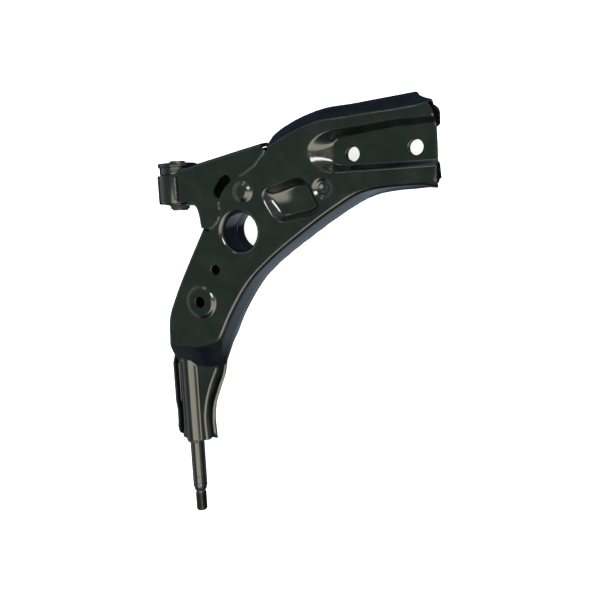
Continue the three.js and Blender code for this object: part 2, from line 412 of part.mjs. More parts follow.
const stud = lathe([[0, T.y0], [T.r - 1.2, T.y0], [T.r, T.y0 - 1.2], [T.r, T.ys], [T.r - 1.3, T.yc], [T.rth - 0.9, T.yc - 0.6], [T.rth - 0.9, T.yc - 2.2], [T.rth, T.yc - 3.2], [T.rth, T.ye + 1.4], [T.rth - 1.3, T.ye], [0, T.ye]].reverse(), 40);

// ---- weld beads ---------------------------------------------------------
function bead(path, r, sides = 7, pitch = 6) {
  const curve = new THREE.CatmullRomCurve3(path.map((p) => new THREE.Vector3(...p)));
  const sh = new THREE.Shape(circle(0, 0, r, sides).map((p) => new THREE.Vector2(p[0], p[1])));
  return solid(new THREE.ExtrudeGeometry(sh, { steps: Math.max(3, Math.round(curve.getLength() / pitch)), extrudePath: curve, bevelEnabled: false }));
}
const W = 1.15;                             // radius of the seam beads
const outN = upperOutline.map((p, i, A) => { const n = A.length, a = A[(i + n - 1) % n], b = A[(i + 1) % n], l = Math.hypot(b[0] - a[0], b[1] - a[1]); return [(b[1] - a[1]) / l, -(b[0] - a[0]) / l]; });
// fillet bead in the step under the edge of the upper flange
function seamBead(test) {
  return bead(upperOutline.map((p, i) => {
    const r = lowerRim(p, outN[i][1]), zc = p[3] - GAP - W - 0.12, h = r.z - lowerFace(p[0], p[1]);
    const o = r.out - (r.lean * (r.z - zc)) / h + (GAP + W + 0.15) * Math.hypot(1, r.lean / h);
    return [p[0] + outN[i][0] * o, p[1] + outN[i][1] * o, zc];
  }).filter((q, i) => test(upperOutline[i])), W);
}
const offsetLine = (line, d, z) => line.map((p, i) => {
  const a = line[Math.max(0, i - 1)], b = line[Math.min(line.length - 1, i + 1)], l = Math.hypot(b[0] - a[0], b[1] - a[1]);
  return [p[0] - (d * (b[1] - a[1])) / l, p[1] + (d * (b[0] - a[0])) / l, z];
});
const plateZ = BRACKET_TOP + GAP + 1.5;
const weldA = bead(offsetLine([[112.4, 27.2], [109.8, 21.9], [105.4, 18.0], [100.5, 12.6], [94.4, 9.2], [88.0, 5.6], [82, 3.9]], -2.1, plateZ), 1.5, 7, 4);
const weldB = bead([[58.4, -17.6, plateZ], [57.9, -21, plateZ], [58.2, -25.5, plateZ]], 1.5, 7, 3);
const weldC = bead([[57.6, -31.6, plateZ], [54.9, -36.4, plateZ], [50, -40.6, plateZ], [45.6, -43.0, plateZ]], 1.5, 7, 4);
// the plate's end is welded to the eye above and, inside the channel, below
const alongEye = (deg, r, y0, y1) => [0, 1, 2, 3, 4].map((k) => { const a = (deg * Math.PI) / 180, q = EYE.ro + GAP + 0.1 + r; return [q * Math.cos(a), lerp(y0, y1, k / 4), Z_PIVOT + q * Math.sin(a)]; });
const weldEyeTop = bead(alongEye(64.4, 1.2, -14.6, 8.8), 1.2, 7, 5);
const weldEyeLow = bead(alongEye(37.8, 1.3, -13, 7.4), 1.3, 7, 5);
const aroundStud = (y, a0, a1) => [0, 1, 2, 3, 4, 5, 6].map((k) => { const a = (lerp(a0, a1, k / 6) * Math.PI) / 180, q = T.r + GAP + 1.5; return [q * Math.cos(a), y, Z_PIVOT + q * Math.sin(a)]; });
const weldStudTop = bead(aroundStud(-271.6, 20, 160), 1.4, 7, 4);
const weldStudLow = bead(aroundStud(-272.4, 200, 340), 1.4, 7, 4);

// ---- assembly -----------------------------------------------------------
const root = new THREE.Group();
const arm = new THREE.Group();
arm.position.set(...SHIFT);
root.add(arm);
const PAINT = { color: 0x0d1110, roughness: 0.26, metalness: 0.25 };
const WELD = { color: 0x0c0f0f, roughness: 0.4, metalness: 0.3 };
const RUBBER_MAT = { color: 0x0a0a0b, roughness: 0.75, metalness: 0 };
const STEEL = { color: 0x6f7476, roughness: 0.45, metalness: 0.8 };
function node(name, man, mat) { const m = new THREE.Mesh(back(man), new THREE.MeshStandardMaterial(mat)); m.name = name; arm.add(m); }
node('upper_shell', upper, PAINT);
node('lower_shell', lower, PAINT);
node('front_bracket', bracket, PAINT);
node('bracket_closing_plate', closing, PAINT);
node('bush_eye', eye, PAINT);
node('bush_outer_sleeve', sleeve, STEEL);
node('bush_rubber', rubber, RUBBER_MAT);
node('bush_inner_sleeve', inner, STEEL);
node('rear_stud', stud, PAINT);
node('weld_bracket_front', weldA, WELD);
node('weld_bracket_middle', weldB, WELD);
node('weld_bracket_rear', weldC, WELD);
node('weld_eye_upper', weldEyeTop, WELD);
node('weld_eye_lower', weldEyeLow, WELD);
node('weld_seam_front', seamBead((p) => p[1] > 36 && p[0] > 130 && p[0] < 247), WELD);
node('weld_seam_inner', seamBead((p) => p[0] > 66 && p[0] < 232 && p[1] < -11 && p[1] > -131 && p[1] < 0.62 * p[0] - 95), WELD);
node('weld_seam_outer', seamBead((p) => p[0] < 36 && p[1] > -140 && p[1] < -54), WELD);
node('weld_stud_upper', weldStudTop, WELD);
node('weld_stud_lower', weldStudLow, WELD);
export default root;
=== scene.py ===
"""Pressed-steel lower control arm: fine meshes, paint, floor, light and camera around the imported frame."""
import math

import bpy
import numpy as np
from mathutils import Matrix, Vector
from mathutils.geometry import delaunay_2d_cdt


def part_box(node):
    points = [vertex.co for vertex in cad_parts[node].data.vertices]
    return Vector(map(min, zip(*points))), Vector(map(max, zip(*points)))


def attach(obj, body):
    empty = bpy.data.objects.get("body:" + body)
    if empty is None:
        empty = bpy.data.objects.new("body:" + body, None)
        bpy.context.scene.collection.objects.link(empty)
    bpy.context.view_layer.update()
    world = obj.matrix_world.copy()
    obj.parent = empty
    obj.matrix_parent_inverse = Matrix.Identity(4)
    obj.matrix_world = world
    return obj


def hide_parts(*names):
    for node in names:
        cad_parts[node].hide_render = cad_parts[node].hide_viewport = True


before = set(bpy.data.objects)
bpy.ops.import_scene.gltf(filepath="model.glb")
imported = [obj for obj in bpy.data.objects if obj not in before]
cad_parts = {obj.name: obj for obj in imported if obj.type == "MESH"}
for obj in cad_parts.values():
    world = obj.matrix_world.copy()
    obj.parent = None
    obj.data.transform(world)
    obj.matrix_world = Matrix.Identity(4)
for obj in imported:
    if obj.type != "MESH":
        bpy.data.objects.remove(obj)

scene = bpy.context.scene


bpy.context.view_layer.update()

# ---------------------------------------------------------------- frame
# Sizes below are in millimetres, measured from the pivot axis (x = 0, z = 24) and the
# middle of the bush (y = 0).
lo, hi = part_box("bush_inner_sleeve")
SX = (lo[0] + hi[0]) * 500.0
SY = lo[1] * 1000.0 + 24.8
SHEET, Z_TOP, Z_PIVOT, Z_TAIL, Z_TAIL_LO, Z_RIM = 3.0, 46.0, 24.0, 29.5, 17.2, 25.0
BEND, RIDGE_R, END_X = 3.8, 11.0, 270.6
HOLE = (80.4, -47.0, 23.4, 18.2)
STAB = (32.6, -115.9, 5.5, 17.5, -2.6)
SMALL = (51.6, -83.6, 5.0)
BOLTS = [(194.6, 18.2), (252.6, 19.8)]
BOLT_R = 6.5
DIMPLE = (86.8, -9.4, 11.6, -3.2)
DENT = (168.6, -10.2, 10.6, 3.6)
POCKET_DEPTH = 11.0
EYE_RO, EYE_RI, EYE_Y0, EYE_Y1 = 21.0, 15.5, -18.4, 10.4
BRACKET_TOP = Z_TOP - SHEET - 0.3
GAP = 0.3

UPPER = [
    [300, -11.4, 1.6, 20], [257, -11.5, 2.2, 20], [247.9, -11.4, 2.9, 20], [230.6, -11.8, 3.2, 20], [212.7, -13.5, 3.7, 20], [199, -17.2, 4.4, 20], [184.7, -25, 3.9, 20],
    [165, -36.8, 3.6, 20], [144.7, -50.4, 3.2, 20], [123.4, -65.4, 2.6, 20], [103.5, -81.3, 2.0, 20],
    [89.7, -94.4, 1.8, 20], [77.5, -109.8, 1.8, 20], [64.6, -130.0, 2.0, 20], [54.4, -149.0, 2.2, 20], [46.0, -166, 3.4, 20], [38.5, -181, 4.3, 20.5],
    [30.5, -197.2, 4.5, 21], [24.3, -210.7, 5, 21], [18.8, -227.7, 4, 21.8], [16, -246, 4, 21.8], [15.2, -290, 4, 21.8],
    [-11.6, -290, 7.2, 21.8], [-11.6, -249.8, 7.2, 21.8], [-11.2, -215, 7.2, 21.8], [-11.4, -190, 7, 21],
    [-12.2, -175, 6, 20.5], [-10.9, -158, 4, 20], [-10.2, -143.3, 3.5, 20], [-7.6, -129.6, 3.5, 20], [3.7, -105.4, 3.5, 20],
    [17.2, -81.1, 3.5, 20], [30.7, -58.1, 3.5, 20], [39.8, -42.6, 3.5, 20], [58, -10, 3.5, 20], [86, 17, 4, 20],
    [106, 26, 9, 22.4], [118.6, 31.6, 13.2, 23], [134.2, 38.2, 14.4, 23.5], [151, 44.4, 14.0, 24], [168.7, 48.4, 13.7, 24], [192.1, 49.6, 13.5, 24],
    [216.4, 51.0, 13.9, 24], [234, 51.6, 14.7, 23], [252, 52.8, 14.9, 22], [300, 54, 14.9, 22],
]
SEAM = [[111.4, 44], [113.2, 37], [114.4, 31.6], [109.8, 21.9], [105.4, 18.0], [100.5, 12.6], [94.4, 9.2], [88.0, 5.6], [81.1, 3.6], [75.0, 0.9], [67.0, -6.0],
        [61.6, -14.2], [60.4, -21], [61.4, -29.0], [57.9, -37.4], [51.4, -43.2], [47.6, -45.2], [42, -45.6], [20, -45.6]]
POCKET = [[109.6, -11.6], [112.6, -8.6], [116.8, -7.4], [122, -6.2], [130.9, -3.2], [137.1, -1.4], [142.1, -0.4], [147.4, -0.6], [151.4, -2.4],
          [155, -6], [157, -10], [158.6, -14.4], [160.2, -18.2], [162.2, -21.6], [163.6, -25.2], [161.8, -28.6], [158, -31.6], [153.4, -33.8],
          [148.4, -34.6], [143.6, -35], [135.2, -37], [129.6, -38], [124.4, -37.4], [119.9, -34.8], [116.6, -30.6], [113.2, -25.4], [110.2, -20.6], [109, -16]]
BRACKET_LINE = [[-6, -16.4], [10, -17.3], [24, -18.9], [28.4, -20.4], [30.9, -23.2], [32.3, -27.2], [33.3, -31], [33.9, -37.2], [35.2, -43.0], [39.6, -50.4],
                [50, -62], [62, -72], [130, -72], [134, 0], [130, 38.4], [108, 33.9], [80, 28.5], [57.3, 24.0], [40, 20.6], [22.2, 16.8], [11.2, 13.6], [-6, 9.6]]


# ---------------------------------------------------------------- small maths
def smooth(t):
    t = np.clip(t, 0, 1)
    return t * t * (3 - 2 * t)


def smoother(t):
    t = np.clip(t, 0, 1)
    return t * t * t * (t * (6 * t - 15) + 10)


def lerp(a, b, t):
    return a + (b - a) * t


def catmull(pts, step, closed=True):
    pts = np.asarray(pts, float)
    n = len(pts)
    out = []
    for i in range(n if closed else n - 1):
        g = lambda k: pts[k % n] if closed else pts[min(max(k, 0), n - 1)]
        p0, p1, p2, p3 = g(i - 1), g(i), g(i + 1), g(i + 2)
        ln = np.hypot(*(p2 - p1)[:2])
        m = max(1, int(round(ln / step)))
        a = (p2 - p0) * 0.5 * min(1, ln / (1e-6 + 0.5 * np.hypot(*(p2 - p0)[:2])))
        b = (p3 - p1) * 0.5 * min(1, ln / (1e-6 + 0.5 * np.hypot(*(p3 - p1)[:2])))
        t = (np.arange(m) / m)[:, None]
        t2, t3 = t * t, t ** 3
        out.append((2 * t3 - 3 * t2 + 1) * p1 + (t3 - 2 * t2 + t) * a + (-2 * t3 + 3 * t2) * p2 + (t3 - t2) * b)
    if not closed:
        out.append(pts[-1][None])
    return np.vstack(out)


def inside(P, poly):
    x, y = P[:, 0], P[:, 1]
    c = np.zeros(len(P), bool)
    a = poly
    b = np.roll(poly, 1, axis=0)
    for (ax, ay), (bx, by) in zip(a[:, :2], b[:, :2]):
        if ay == by:
            continue
        m = ((ay > y) != (by > y)) & (x < (bx - ax) * (y - ay) / (by - ay) + ax)
        c ^= m
    return c


def edge_dist(P, poly, closed=True):
    d = np.full(len(P), 1e18)
    n = len(poly)
    for i in range(n if closed else n - 1):
        a, b = poly[i][:2], poly[(i + 1) % n][:2]
        v = b - a
        t = np.clip(((P - a) @ v) / (v @ v + 1e-12), 0, 1)
        q = P - a - t[:, None] * v
        d = np.minimum(d, q[:, 0] ** 2 + q[:, 1] ** 2)
    return np.sqrt(d)


def normals_of(ring):
    a, b = np.roll(ring, 1, axis=0), np.roll(ring, -1, axis=0)
    d = (b - a)[:, :2]
    d /= np.linalg.norm(d, axis=1)[:, None]
    return np.c_[d[:, 1], -d[:, 0]]


def smooth_curve(poly, it=2):
    """Chaikin rounding of a closed polygon."""
    p = np.asarray(poly, float)
    for _ in range(it):
        q = np.roll(p, -1, axis=0)
        p = np.stack([0.75 * p + 0.25 * q, 0.25 * p + 0.75 * q], axis=1).reshape(-1, p.shape[1])
    return p


POCKET_FINE = (smooth_curve(POCKET, 2) - [136, -18]) * [1.05, 1.08] + [136, -18]


# ---------------------------------------------------------------- heights of the plates
def seat_floor(x):
    return lerp(33.0, 45.2, np.clip((x - 160) / 110, 0, 1))


def recess_dist(x, y):
    x0, x1, y0, r = 156.0, 400.0, 2.2, 14.0
    y1 = lerp(39.5, 44.2, np.clip((x - 175) / 60, 0, 1))
    qx = np.abs(x - (x0 + x1) / 2) - (x1 - x0) / 2 + r
    qy = np.abs(y - (y0 + y1) / 2) - (y1 - y0) / 2 + r
    return -(np.hypot(np.maximum(qx, 0), np.maximum(qy, 0)) + np.minimum(np.maximum(qx, qy), 0) - r)


def bowl(t):
    """0 at the edge, 1 at the bottom: a tight turn at the rim, then a round-bottomed wall."""
    t = np.clip(t, 0, 1)
    u = t * t / (t + 0.14) * 1.14
    return 1 - (1 - u) ** 2


def recess_depth(x, y):
    """0 outside the seat recess, 1 on its floor: a long bowl at the inner end, short walls along the sides."""
    k, y0 = 0.35, 2.2
    y1 = lerp(39.5, 44.2, np.clip((x - 175) / 60, 0, 1))
    ws = lerp(12.5, 7.5, smooth((x - 160) / 24))
    tl = (x - 154.6) / 22.5
    ts = np.minimum(y - y0, y1 - y) / ws
    t = 1 + k - np.hypot(np.maximum(1 + k - tl, 0), np.maximum(1 + k - ts, 0))
    r = lerp(0.15, 0.24, smooth((x - 176) / 10))
    return soft_ramp(np.clip(t, 0, 1), r)


def tail_mix(x, y):
    yt = lerp(-160.0, -148.0, smooth((x - 20) / 36))
    yb = -190.0
    return np.clip((yt - y) / (yt - yb), 0, 1)


def soft_ramp(t, r=0.2):
    return np.where(t < r, t * t / (2 * r) / (1 - r), np.where(t > 1 - r, 1 - (1 - t) ** 2 / (2 * r) / (1 - r), (t - r / 2) / (1 - r)))


def smax(a, b, k):
    h = np.clip(0.5 + 0.5 * (a - b) / k, 0, 1)
    return lerp(b, a, h) + k * h * (1 - h)


def smin(a, b, k):
    return -smax(-a, -b, k)


def upper_face(x, y):
    x, y = np.asarray(x, float), np.asarray(y, float)
    z = Z_TOP + 4 * np.power(np.clip((x - 190) / 80, 0, 1), 1.4)
    z = lerp(z, Z_TAIL, soft_ramp(tail_mix(x, y)))
    rid = Z_PIVOT + np.sqrt(np.maximum(RIDGE_R ** 2 - x * x, 0))
    z = np.where((y < -140) & (np.abs(x) < RIDGE_R), smax(z, rid, 1.2), z)
    fl = seat_floor(x)
    z = lerp(z, np.minimum(z, fl), recess_depth(x, y))
    P = np.c_[x.ravel(), y.ravel()]
    box = (P[:, 0] > 105) & (P[:, 0] < 167) & (P[:, 1] > -41) & (P[:, 1] < 3)
    add = np.zeros(len(P))
    if box.any():
        Q = P[box]
        ins = inside(Q, POCKET_FINE)
        dd = edge_dist(Q, POCKET_FINE)
        floor = np.clip(1 - ((Q[:, 0] - 146) / 34) ** 2 - ((Q[:, 1] + 20) / 26) ** 2, 0, 1)
        add[box] = np.where(ins, bowl(dd / 8.0) * (POCKET_DEPTH - 5.0 + 5.0 * floor), 0)
    z = z - add.reshape(z.shape)
    r = np.hypot(x - DIMPLE[0], y - DIMPLE[1])
    z = z - DIMPLE[3] * smooth((1.0 - r / DIMPLE[2]) * 1.6)
    r = np.hypot(x - DENT[0], y - DENT[1])
    z = z - DENT[3] * smooth((1.0 - r / DENT[2]) * 1.5) + 1.1 * smooth(1.0 - np.abs(r - 4.2) / 2.6)
    r = np.hypot(x - STAB[0], y - STAB[1])
    z = z - STAB[4] * smooth((STAB[3] - r) / 4.5)
    return z


def lower_face(x, y):
    x, y = np.asarray(x, float), np.asarray(y, float)
    z = 10 * np.power(np.clip((x - 175) / 95, 0, 1), 1.3)
    z = lerp(z, Z_TAIL_LO, soft_ramp(tail_mix(x, y)))
    rid = Z_PIVOT - np.sqrt(np.maximum(RIDGE_R ** 2 - x * x, 0))
    z = np.where((y < -140) & (np.abs(x) < RIDGE_R), smin(z, rid, 1.2), z)
    d = recess_dist(x, y) - 3
    z = np.where(d > 0, lerp(z, seat_floor(x) - 2 * SHEET - 0.3, smoother(d / 10) * smooth((x - 160) / 22)), z)
    return z


# ---------------------------------------------------------------- mesh building
class Build:
    def __init__(self):
        self.v, self.f = [], []

    def add(self, pts):
        i = len(self.v)
        self.v.extend(np.asarray(pts, float).reshape(-1, 3).tolist())
        return i

    def strip(self, A, B, flip=False, closed=False):
        """Quads between two rows of vertex numbers."""
        n = len(A)
        for i in range(n if closed else n - 1):
            j = (i + 1) % n
            q = (A[i], B[i], B[j], A[j])
            self.f.append(q[::-1] if flip else q)


def make_object(name, V, F, body, replaces=None, material=None, sharp=40, mm=True):
    me = bpy.data.meshes.new(name)
    V = np.asarray(V, float)
    if mm:
        V = (V + np.array([SX, SY, 0.0])) / 1000.0
    me.from_pydata(V.tolist(), [], [list(f) for f in F])
    me.validate(verbose=False)
    me.update()
    me.polygons.foreach_set("use_smooth", [True] * len(me.polygons))
    if sharp:
        me.set_sharp_from_angle(angle=math.radians(sharp))
    ob = bpy.data.objects.new(name, me)
    scene.collection.objects.link(ob)
    if material:
        me.materials.append(material)
    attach(ob, body)
    if replaces:
        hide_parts(*([replaces] if isinstance(replaces, str) else replaces))
    return ob


def wall_profile(run, drop, bend, seg=7, edge=0.45):
    """Cross-section of a flange: list of (out, down, k) from the plate's outer face, round the bend,
    down to the rounded lower edge and back up the inner face. k runs 0..1 through the bend."""
    th = math.atan2(drop, max(0.5, run))
    c = (-bend * math.tan(th / 2), bend)
    ri = max(bend - SHEET, 0.3)
    outer, inner = [], []
    for i in range(seg + 1):
        a = th * i / seg
        outer.append((c[0] + bend * math.sin(a), c[1] - bend * math.cos(a), i / seg))
        inner.append((c[0] + ri * math.sin(a) * 1.0, c[1] - ri * math.cos(a) + (bend - SHEET - ri) * 0, i / seg))
    ux, uy = math.cos(th), math.sin(th)
    nx, ny = -math.sin(th), math.cos(th)       # towards the inside of the sheet
    lo_ = outer[-1]
    L = (drop - lo_[1]) / uy
    end_o = (lo_[0] + ux * (L - edge), lo_[1] + uy * (L - edge))
    tip = (lo_[0] + ux * L, lo_[1] + uy * L)
    li = inner[-1]
    tip_i = (tip[0] + nx * SHEET, tip[1] + ny * SHEET)
    end_i = (tip_i[0] - ux * edge, tip_i[1] - uy * edge)
    prof = list(outer)
    for f in (0.35, 0.7):
        prof.append((lerp(lo_[0], end_o[0], f), lerp(lo_[1], end_o[1], f), 1))
    prof.append((end_o[0], end_o[1], 1))
    prof.append((tip[0] - ux * edge * 0.28 + nx * edge * 0.28, tip[1] - uy * edge * 0.28 + ny * edge * 0.28, 1))
    prof.append((tip[0] + nx * edge, tip[1] + ny * edge, 1))
    prof.append((tip_i[0] - nx * edge, tip_i[1] - ny * edge, 1))
    prof.append((tip_i[0] - ux * edge * 0.28 - nx * edge * 0.28, tip_i[1] - uy * edge * 0.28 - ny * edge * 0.28, 1))
    prof.append((end_i[0], end_i[1], 1))
    for f in (0.3, 0.65):
        prof.append((lerp(end_i[0], li[0], f), lerp(end_i[1], li[1], f), 1))
    prof.extend(inner[::-1])
    return prof


def pressing(segments, face, sign, bend, loops, grid, back=None, spacing=1.7):
    """Closed pressed-steel solid. segments: list of ("flange", array[x, y, run, zb], normals) or
    ("cut", array[x, y]) going counter-clockwise. loops: plain round holes and one flanged bore."""
    B = Build()
    under = back or (lambda x, y, z: z - sign * SHEET)
    up = sign > 0
    ring_top, ring_bot, poly = [], [], []
    cols_at = []                                  # per segment: (first column, last column); never filled or read
    # flanges first
    built = {}
    for si, seg in enumerate(segments):
        if seg[0] != "flange":
            continue
        _, R, N = seg
        cols = []
        z0s = face(R[:, 0], R[:, 1])
        profs = [wall_profile(r[2], abs(z - r[3]), min(bend, 0.9 * abs(z - r[3]) + 0.2), edge=0.45) for r, z in zip(R, z0s)]
        K = len(profs[0])
        O = np.array([[p[0] for p in pr] for pr in profs])
        D = np.array([[p[1] for p in pr] for pr in profs])
        T = np.array([[p[2] for p in pr] for pr in profs])
        X = R[:, 0][:, None] + N[:, 0][:, None] * O
        Y = R[:, 1][:, None] + N[:, 1][:, None] * O
        Zf = face(X, Y)
        Z = lerp(Zf, z0s[:, None], T) - sign * D
        Z[:, 0] = Zf[:, 0]
        Z[:, -1] = under(X[:, -1], Y[:, -1], Zf[:, -1])
        base = B.add(np.stack([X, Y, Z], axis=2).reshape(-1, 3))
        idx = base + np.arange(len(R) * K).reshape(len(R), K)
        for k in range(K - 1):
            B.strip(idx[:, k].tolist(), idx[:, k + 1].tolist(), flip=not up)
        built[si] = (idx, X, Y)
    ns = len(segments)
    for si, seg in enumerate(segments):
        if seg[0] == "flange":
            idx, X, Y = built[si]
            for i in range(len(idx)):
                ring_top.append(int(idx[i, 0])); ring_bot.append(int(idx[i, -1])); poly.append((X[i, 0], Y[i, 0]))
            continue
        C = np.asarray(seg[1], float)
        pi, _, _ = built[(si - 1) % ns]
        ni, _, _ = built[(si + 1) % ns]
        a, b = pi[-1], ni[0]
        pa, pb = np.array(B.v[a[0]][:2]), np.array(B.v[b[0]][:2])
        full = np.vstack([pa, C, pb])
        tang = np.gradient(full, axis=0)
        tang /= np.linalg.norm(tang, axis=1)[:, None]
        nn = np.c_[tang[:, 1], -tang[:, 0]]
        e = 0.4
        cols = []
        m = len(full)
        for i in range(m):
            x, y = full[i]
            if i in (0, m - 1):
                end = a if i == 0 else b
                top, bot = B.v[end[0]], B.v[end[-1]]
                mid = [[lerp(top[k], bot[k], f) for k in range(3)] for f in (0.05, 0.14, 0.86, 0.95)]
                k0 = B.add(mid)
                cols.append([int(end[0]), k0, k0 + 1, k0 + 2, k0 + 3, int(end[-1])])
            else:
                ix, iy = x - nn[i, 0] * e, y - nn[i, 1] * e
                zt = float(face(ix, iy)); zb = float(under(np.array(ix), np.array(iy), np.array(zt)))
                z1 = float(face(x, y)); z2 = float(under(np.array(x), np.array(y), np.array(z1)))
                q = 0.29 * e
                k0 = B.add([[ix, iy, zt], [x - nn[i, 0] * q, y - nn[i, 1] * q, z1 - sign * q], [x, y, z1 - sign * e],
                            [x, y, z2 + sign * e], [x - nn[i, 0] * q, y - nn[i, 1] * q, z2 + sign * q], [ix, iy, zb]])
                cols.append(list(range(k0, k0 + 6)))
                ring_top.append(k0); ring_bot.append(k0 + 5); poly.append((ix, iy))
        for k in range(5):
            B.strip([c[k] for c in cols], [c[k + 1] for c in cols], flip=not up)
        # end faces of the two neighbouring flanges
        fa = [int(t) for t in a] + cols[0][4:0:-1]
        fb = [int(t) for t in b][::-1] + cols[-1][1:5]
        B.f.append(tuple(fa) if up else tuple(fa[::-1]))
        B.f.append(tuple(fb) if up else tuple(fb[::-1]))
    poly = np.array(poly)
    pts = [tuple(p) for p in poly]
    ids = list(zip(ring_top, ring_bot))
    edges = [(i, (i + 1) % len(pts)) for i in range(len(pts))]
    hole_polys = []
    for lp in loops:
        x, y, prof_o, m = lp["x"], lp["y"], lp["profile"], lp.get("n", 64)
        r0 = prof_o[0][0]
        ang = 2 * np.pi * np.arange(m) / m
        zt = face(x + r0 * np.cos(ang), y + r0 * np.sin(ang))
        zb = under(x + r0 * np.cos(ang), y + r0 * np.sin(ang), zt)
        rows = []
        for (r, d, w) in prof_o:
            # w = 0 measures from the outer face, 1 from the inner face
            z = lerp(zt, zb, w) - sign * d
            rows.append(np.c_[x + r * np.cos(ang), y + r * np.sin(ang), z])
        base = B.add(np.stack(rows, axis=1).reshape(-1, 3))
        K = len(rows)
        idx = base + np.arange(m * K).reshape(m, K)
        for k in range(K - 1):
            B.strip(idx[:, k].tolist(), idx[:, k + 1].tolist(), flip=up, closed=True)
        s = len(pts)
        hp = np.c_[x + r0 * np.cos(ang), y + r0 * np.sin(ang)]
        hole_polys.append(hp)
        for i in range(m):
            pts.append(tuple(hp[i])); ids.append((int(idx[i, 0]), int(idx[i, -1])))
            edges.append((s + i, s + (i + 1) % m))
    # interior points
    G = grid
    keep = inside(G, poly) & (edge_dist(G, poly) > spacing * 0.55)
    for lp, hp in zip(loops, hole_polys):
        r0 = lp["profile"][0][0]
        keep &= np.hypot(G[:, 0] - lp["x"], G[:, 1] - lp["y"]) > r0 + 0.9
    G = G[keep]
    zt = face(G[:, 0], G[:, 1])
    zb = under(G[:, 0], G[:, 1], zt)
    base = B.add(np.c_[G, zt]); base2 = B.add(np.c_[G, zb])
    for i in range(len(G)):
        pts.append((G[i, 0], G[i, 1])); ids.append((base + i, base2 + i))
    vo, eo, fo, ov, _, _ = delaunay_2d_cdt([Vector(p) for p in pts], edges, [], 0, 1e-6)
    back_i = [o[0] if o else -1 for o in ov]
    W = np.array([(v[0], v[1]) for v in vo])
    T = np.array([t for t in fo])
    cen = W[T].mean(axis=1)
    ok = inside(cen, poly)
    for hp in hole_polys:
        ok &= ~inside(cen, hp)
    for t in T[ok]:
        a, b, c = (back_i[k] for k in t)
        if min(a, b, c) < 0:
            continue
        s = (pts[b][0] - pts[a][0]) * (pts[c][1] - pts[a][1]) - (pts[b][1] - pts[a][1]) * (pts[c][0] - pts[a][0])
        if s < 0:
            b, c = c, b
        if not up:
            b, c = c, b
        B.f.append((ids[a][0], ids[b][0], ids[c][0]))
        B.f.append((ids[a][1], ids[c][1], ids[b][1]))
    return B


def plain_hole(x, y, r, n=48):
    e = 0.4
    return {"x": x, "y": y, "n": n, "profile": [(r + e, 0, 0), (r + 0.29 * e, 0.29 * e, 0), (r, e, 0), (r, -e, 1), (r + 0.29 * e, -0.29 * e, 1), (r + e, 0, 1)]}


def flanged_bore(x, y, lip, r, drop, n=96):
    pr = []
    R = lip - r
    for i in range(9):
        a = math.pi / 2 * i / 8
        pr.append((lip - R * math.sin(a), R - R * math.cos(a), 0))
    for f in (0.33, 0.66):
        pr.append((r, lerp(R, drop - 0.5, f), 0))
    pr += [(r, drop - 0.5, 0), (r + 0.15, drop - 0.15, 0), (r + 0.5, drop, 0), (r + SHEET - 0.5, drop, 0), (r + SHEET - 0.15, drop - 0.15, 0), (r + SHEET, drop - 0.5, 0)]
    ri = R - SHEET
    pr.append((r + SHEET, lerp(drop, R, 0.5), 0))
    for i in range(8, -1, -1):
        a = math.pi / 2 * i / 8
        pr.append((lip - ri * math.sin(a), SHEET + ri - ri * math.cos(a), 0))
    pr[-1] = (lip, 0, 1)
    return {"x": x, "y": y, "n": n, "profile": pr}


def hexgrid(x0, x1, y0, y1, s):
    rows = []
    h = s * 0.866
    k = 0
    y = y0
    while y < y1:
        xs = np.arange(x0 + (s / 2 if k % 2 else 0), x1, s)
        rows.append(np.c_[xs, np.full(len(xs), y)])
        y += h
        k += 1
    return np.vstack(rows)


def offset_rings(curve, inward, dists, step, dist_fn):
    """Points on rows parallel to a closed curve, kept only where they really are that far inside it."""
    seg = catmull(curve, step)
    n = normals_of(seg)
    sgn = -1.0 if polygon_area(seg) > 0 else 1.0
    out = []
    for k, d in enumerate(dists):
        q = seg[:, :2] + n * sgn * d * inward
        if k % 2:
            q = 0.5 * (q + np.roll(q, -1, axis=0))
        ok = dist_fn(q) > d - 0.22 if d > 0 else np.ones(len(q), bool)
        out.append(q[ok])
    return np.vstack(out)


def polygon_area(p):
    x, y = p[:, 0], p[:, 1]
    return 0.5 * np.sum(x * np.roll(y, -1) - y * np.roll(x, -1))


def recess_curve():
    """Edge of the ball-joint recess as a closed curve, walked where recess_dist is zero."""
    out = []
    for x in np.arange(300, 170, -3.0):
        out.append((x, lerp(39.5, 44.2, np.clip((x - 175) / 60, 0, 1))))
    for k in range(9):
        a = math.pi / 2 + (math.pi / 2) * k / 8
        out.append((170 + 14 * math.cos(a), 25.5 + 14 * math.sin(a)))
    for k in range(9):
        a = math.pi + (math.pi / 2) * k / 8
        out.append((170 + 14 * math.cos(a), 16.2 + 14 * math.sin(a)))
    for x in np.arange(173, 301, 3.0):
        out.append((x, 2.2))
    return np.array(out)


def ring_set(x, y, radii, step):
    out = []
    for k, r in enumerate(radii):
        n = max(6, int(round(2 * math.pi * r / step)))
        a = 2 * np.pi * (np.arange(n) + 0.5 * (k % 2)) / n
        out.append(np.c_[x + r * np.cos(a), y + r * np.sin(a)])
    return np.vstack(out)


def thin(cands):
    """Keeps points in the order given, dropping any that crowds one already kept."""
    cell = {}
    keep = []
    for x, y, r in cands:
        ci, cj = int(math.floor(x / 4)), int(math.floor(y / 4))
        near_ = False
        for i in (ci - 1, ci, ci + 1):
            for j in (cj - 1, cj, cj + 1):
                for (a, b, q) in cell.get((i, j), ()):
                    m = min(q, r)
                    if (a - x) ** 2 + (b - y) ** 2 < m * m:
                        near_ = True
                        break
                if near_:
                    break
            if near_:
                break
        if not near_:
            cell.setdefault((ci, cj), []).append((x, y, r))
            keep.append((x, y))
    return np.array(keep)


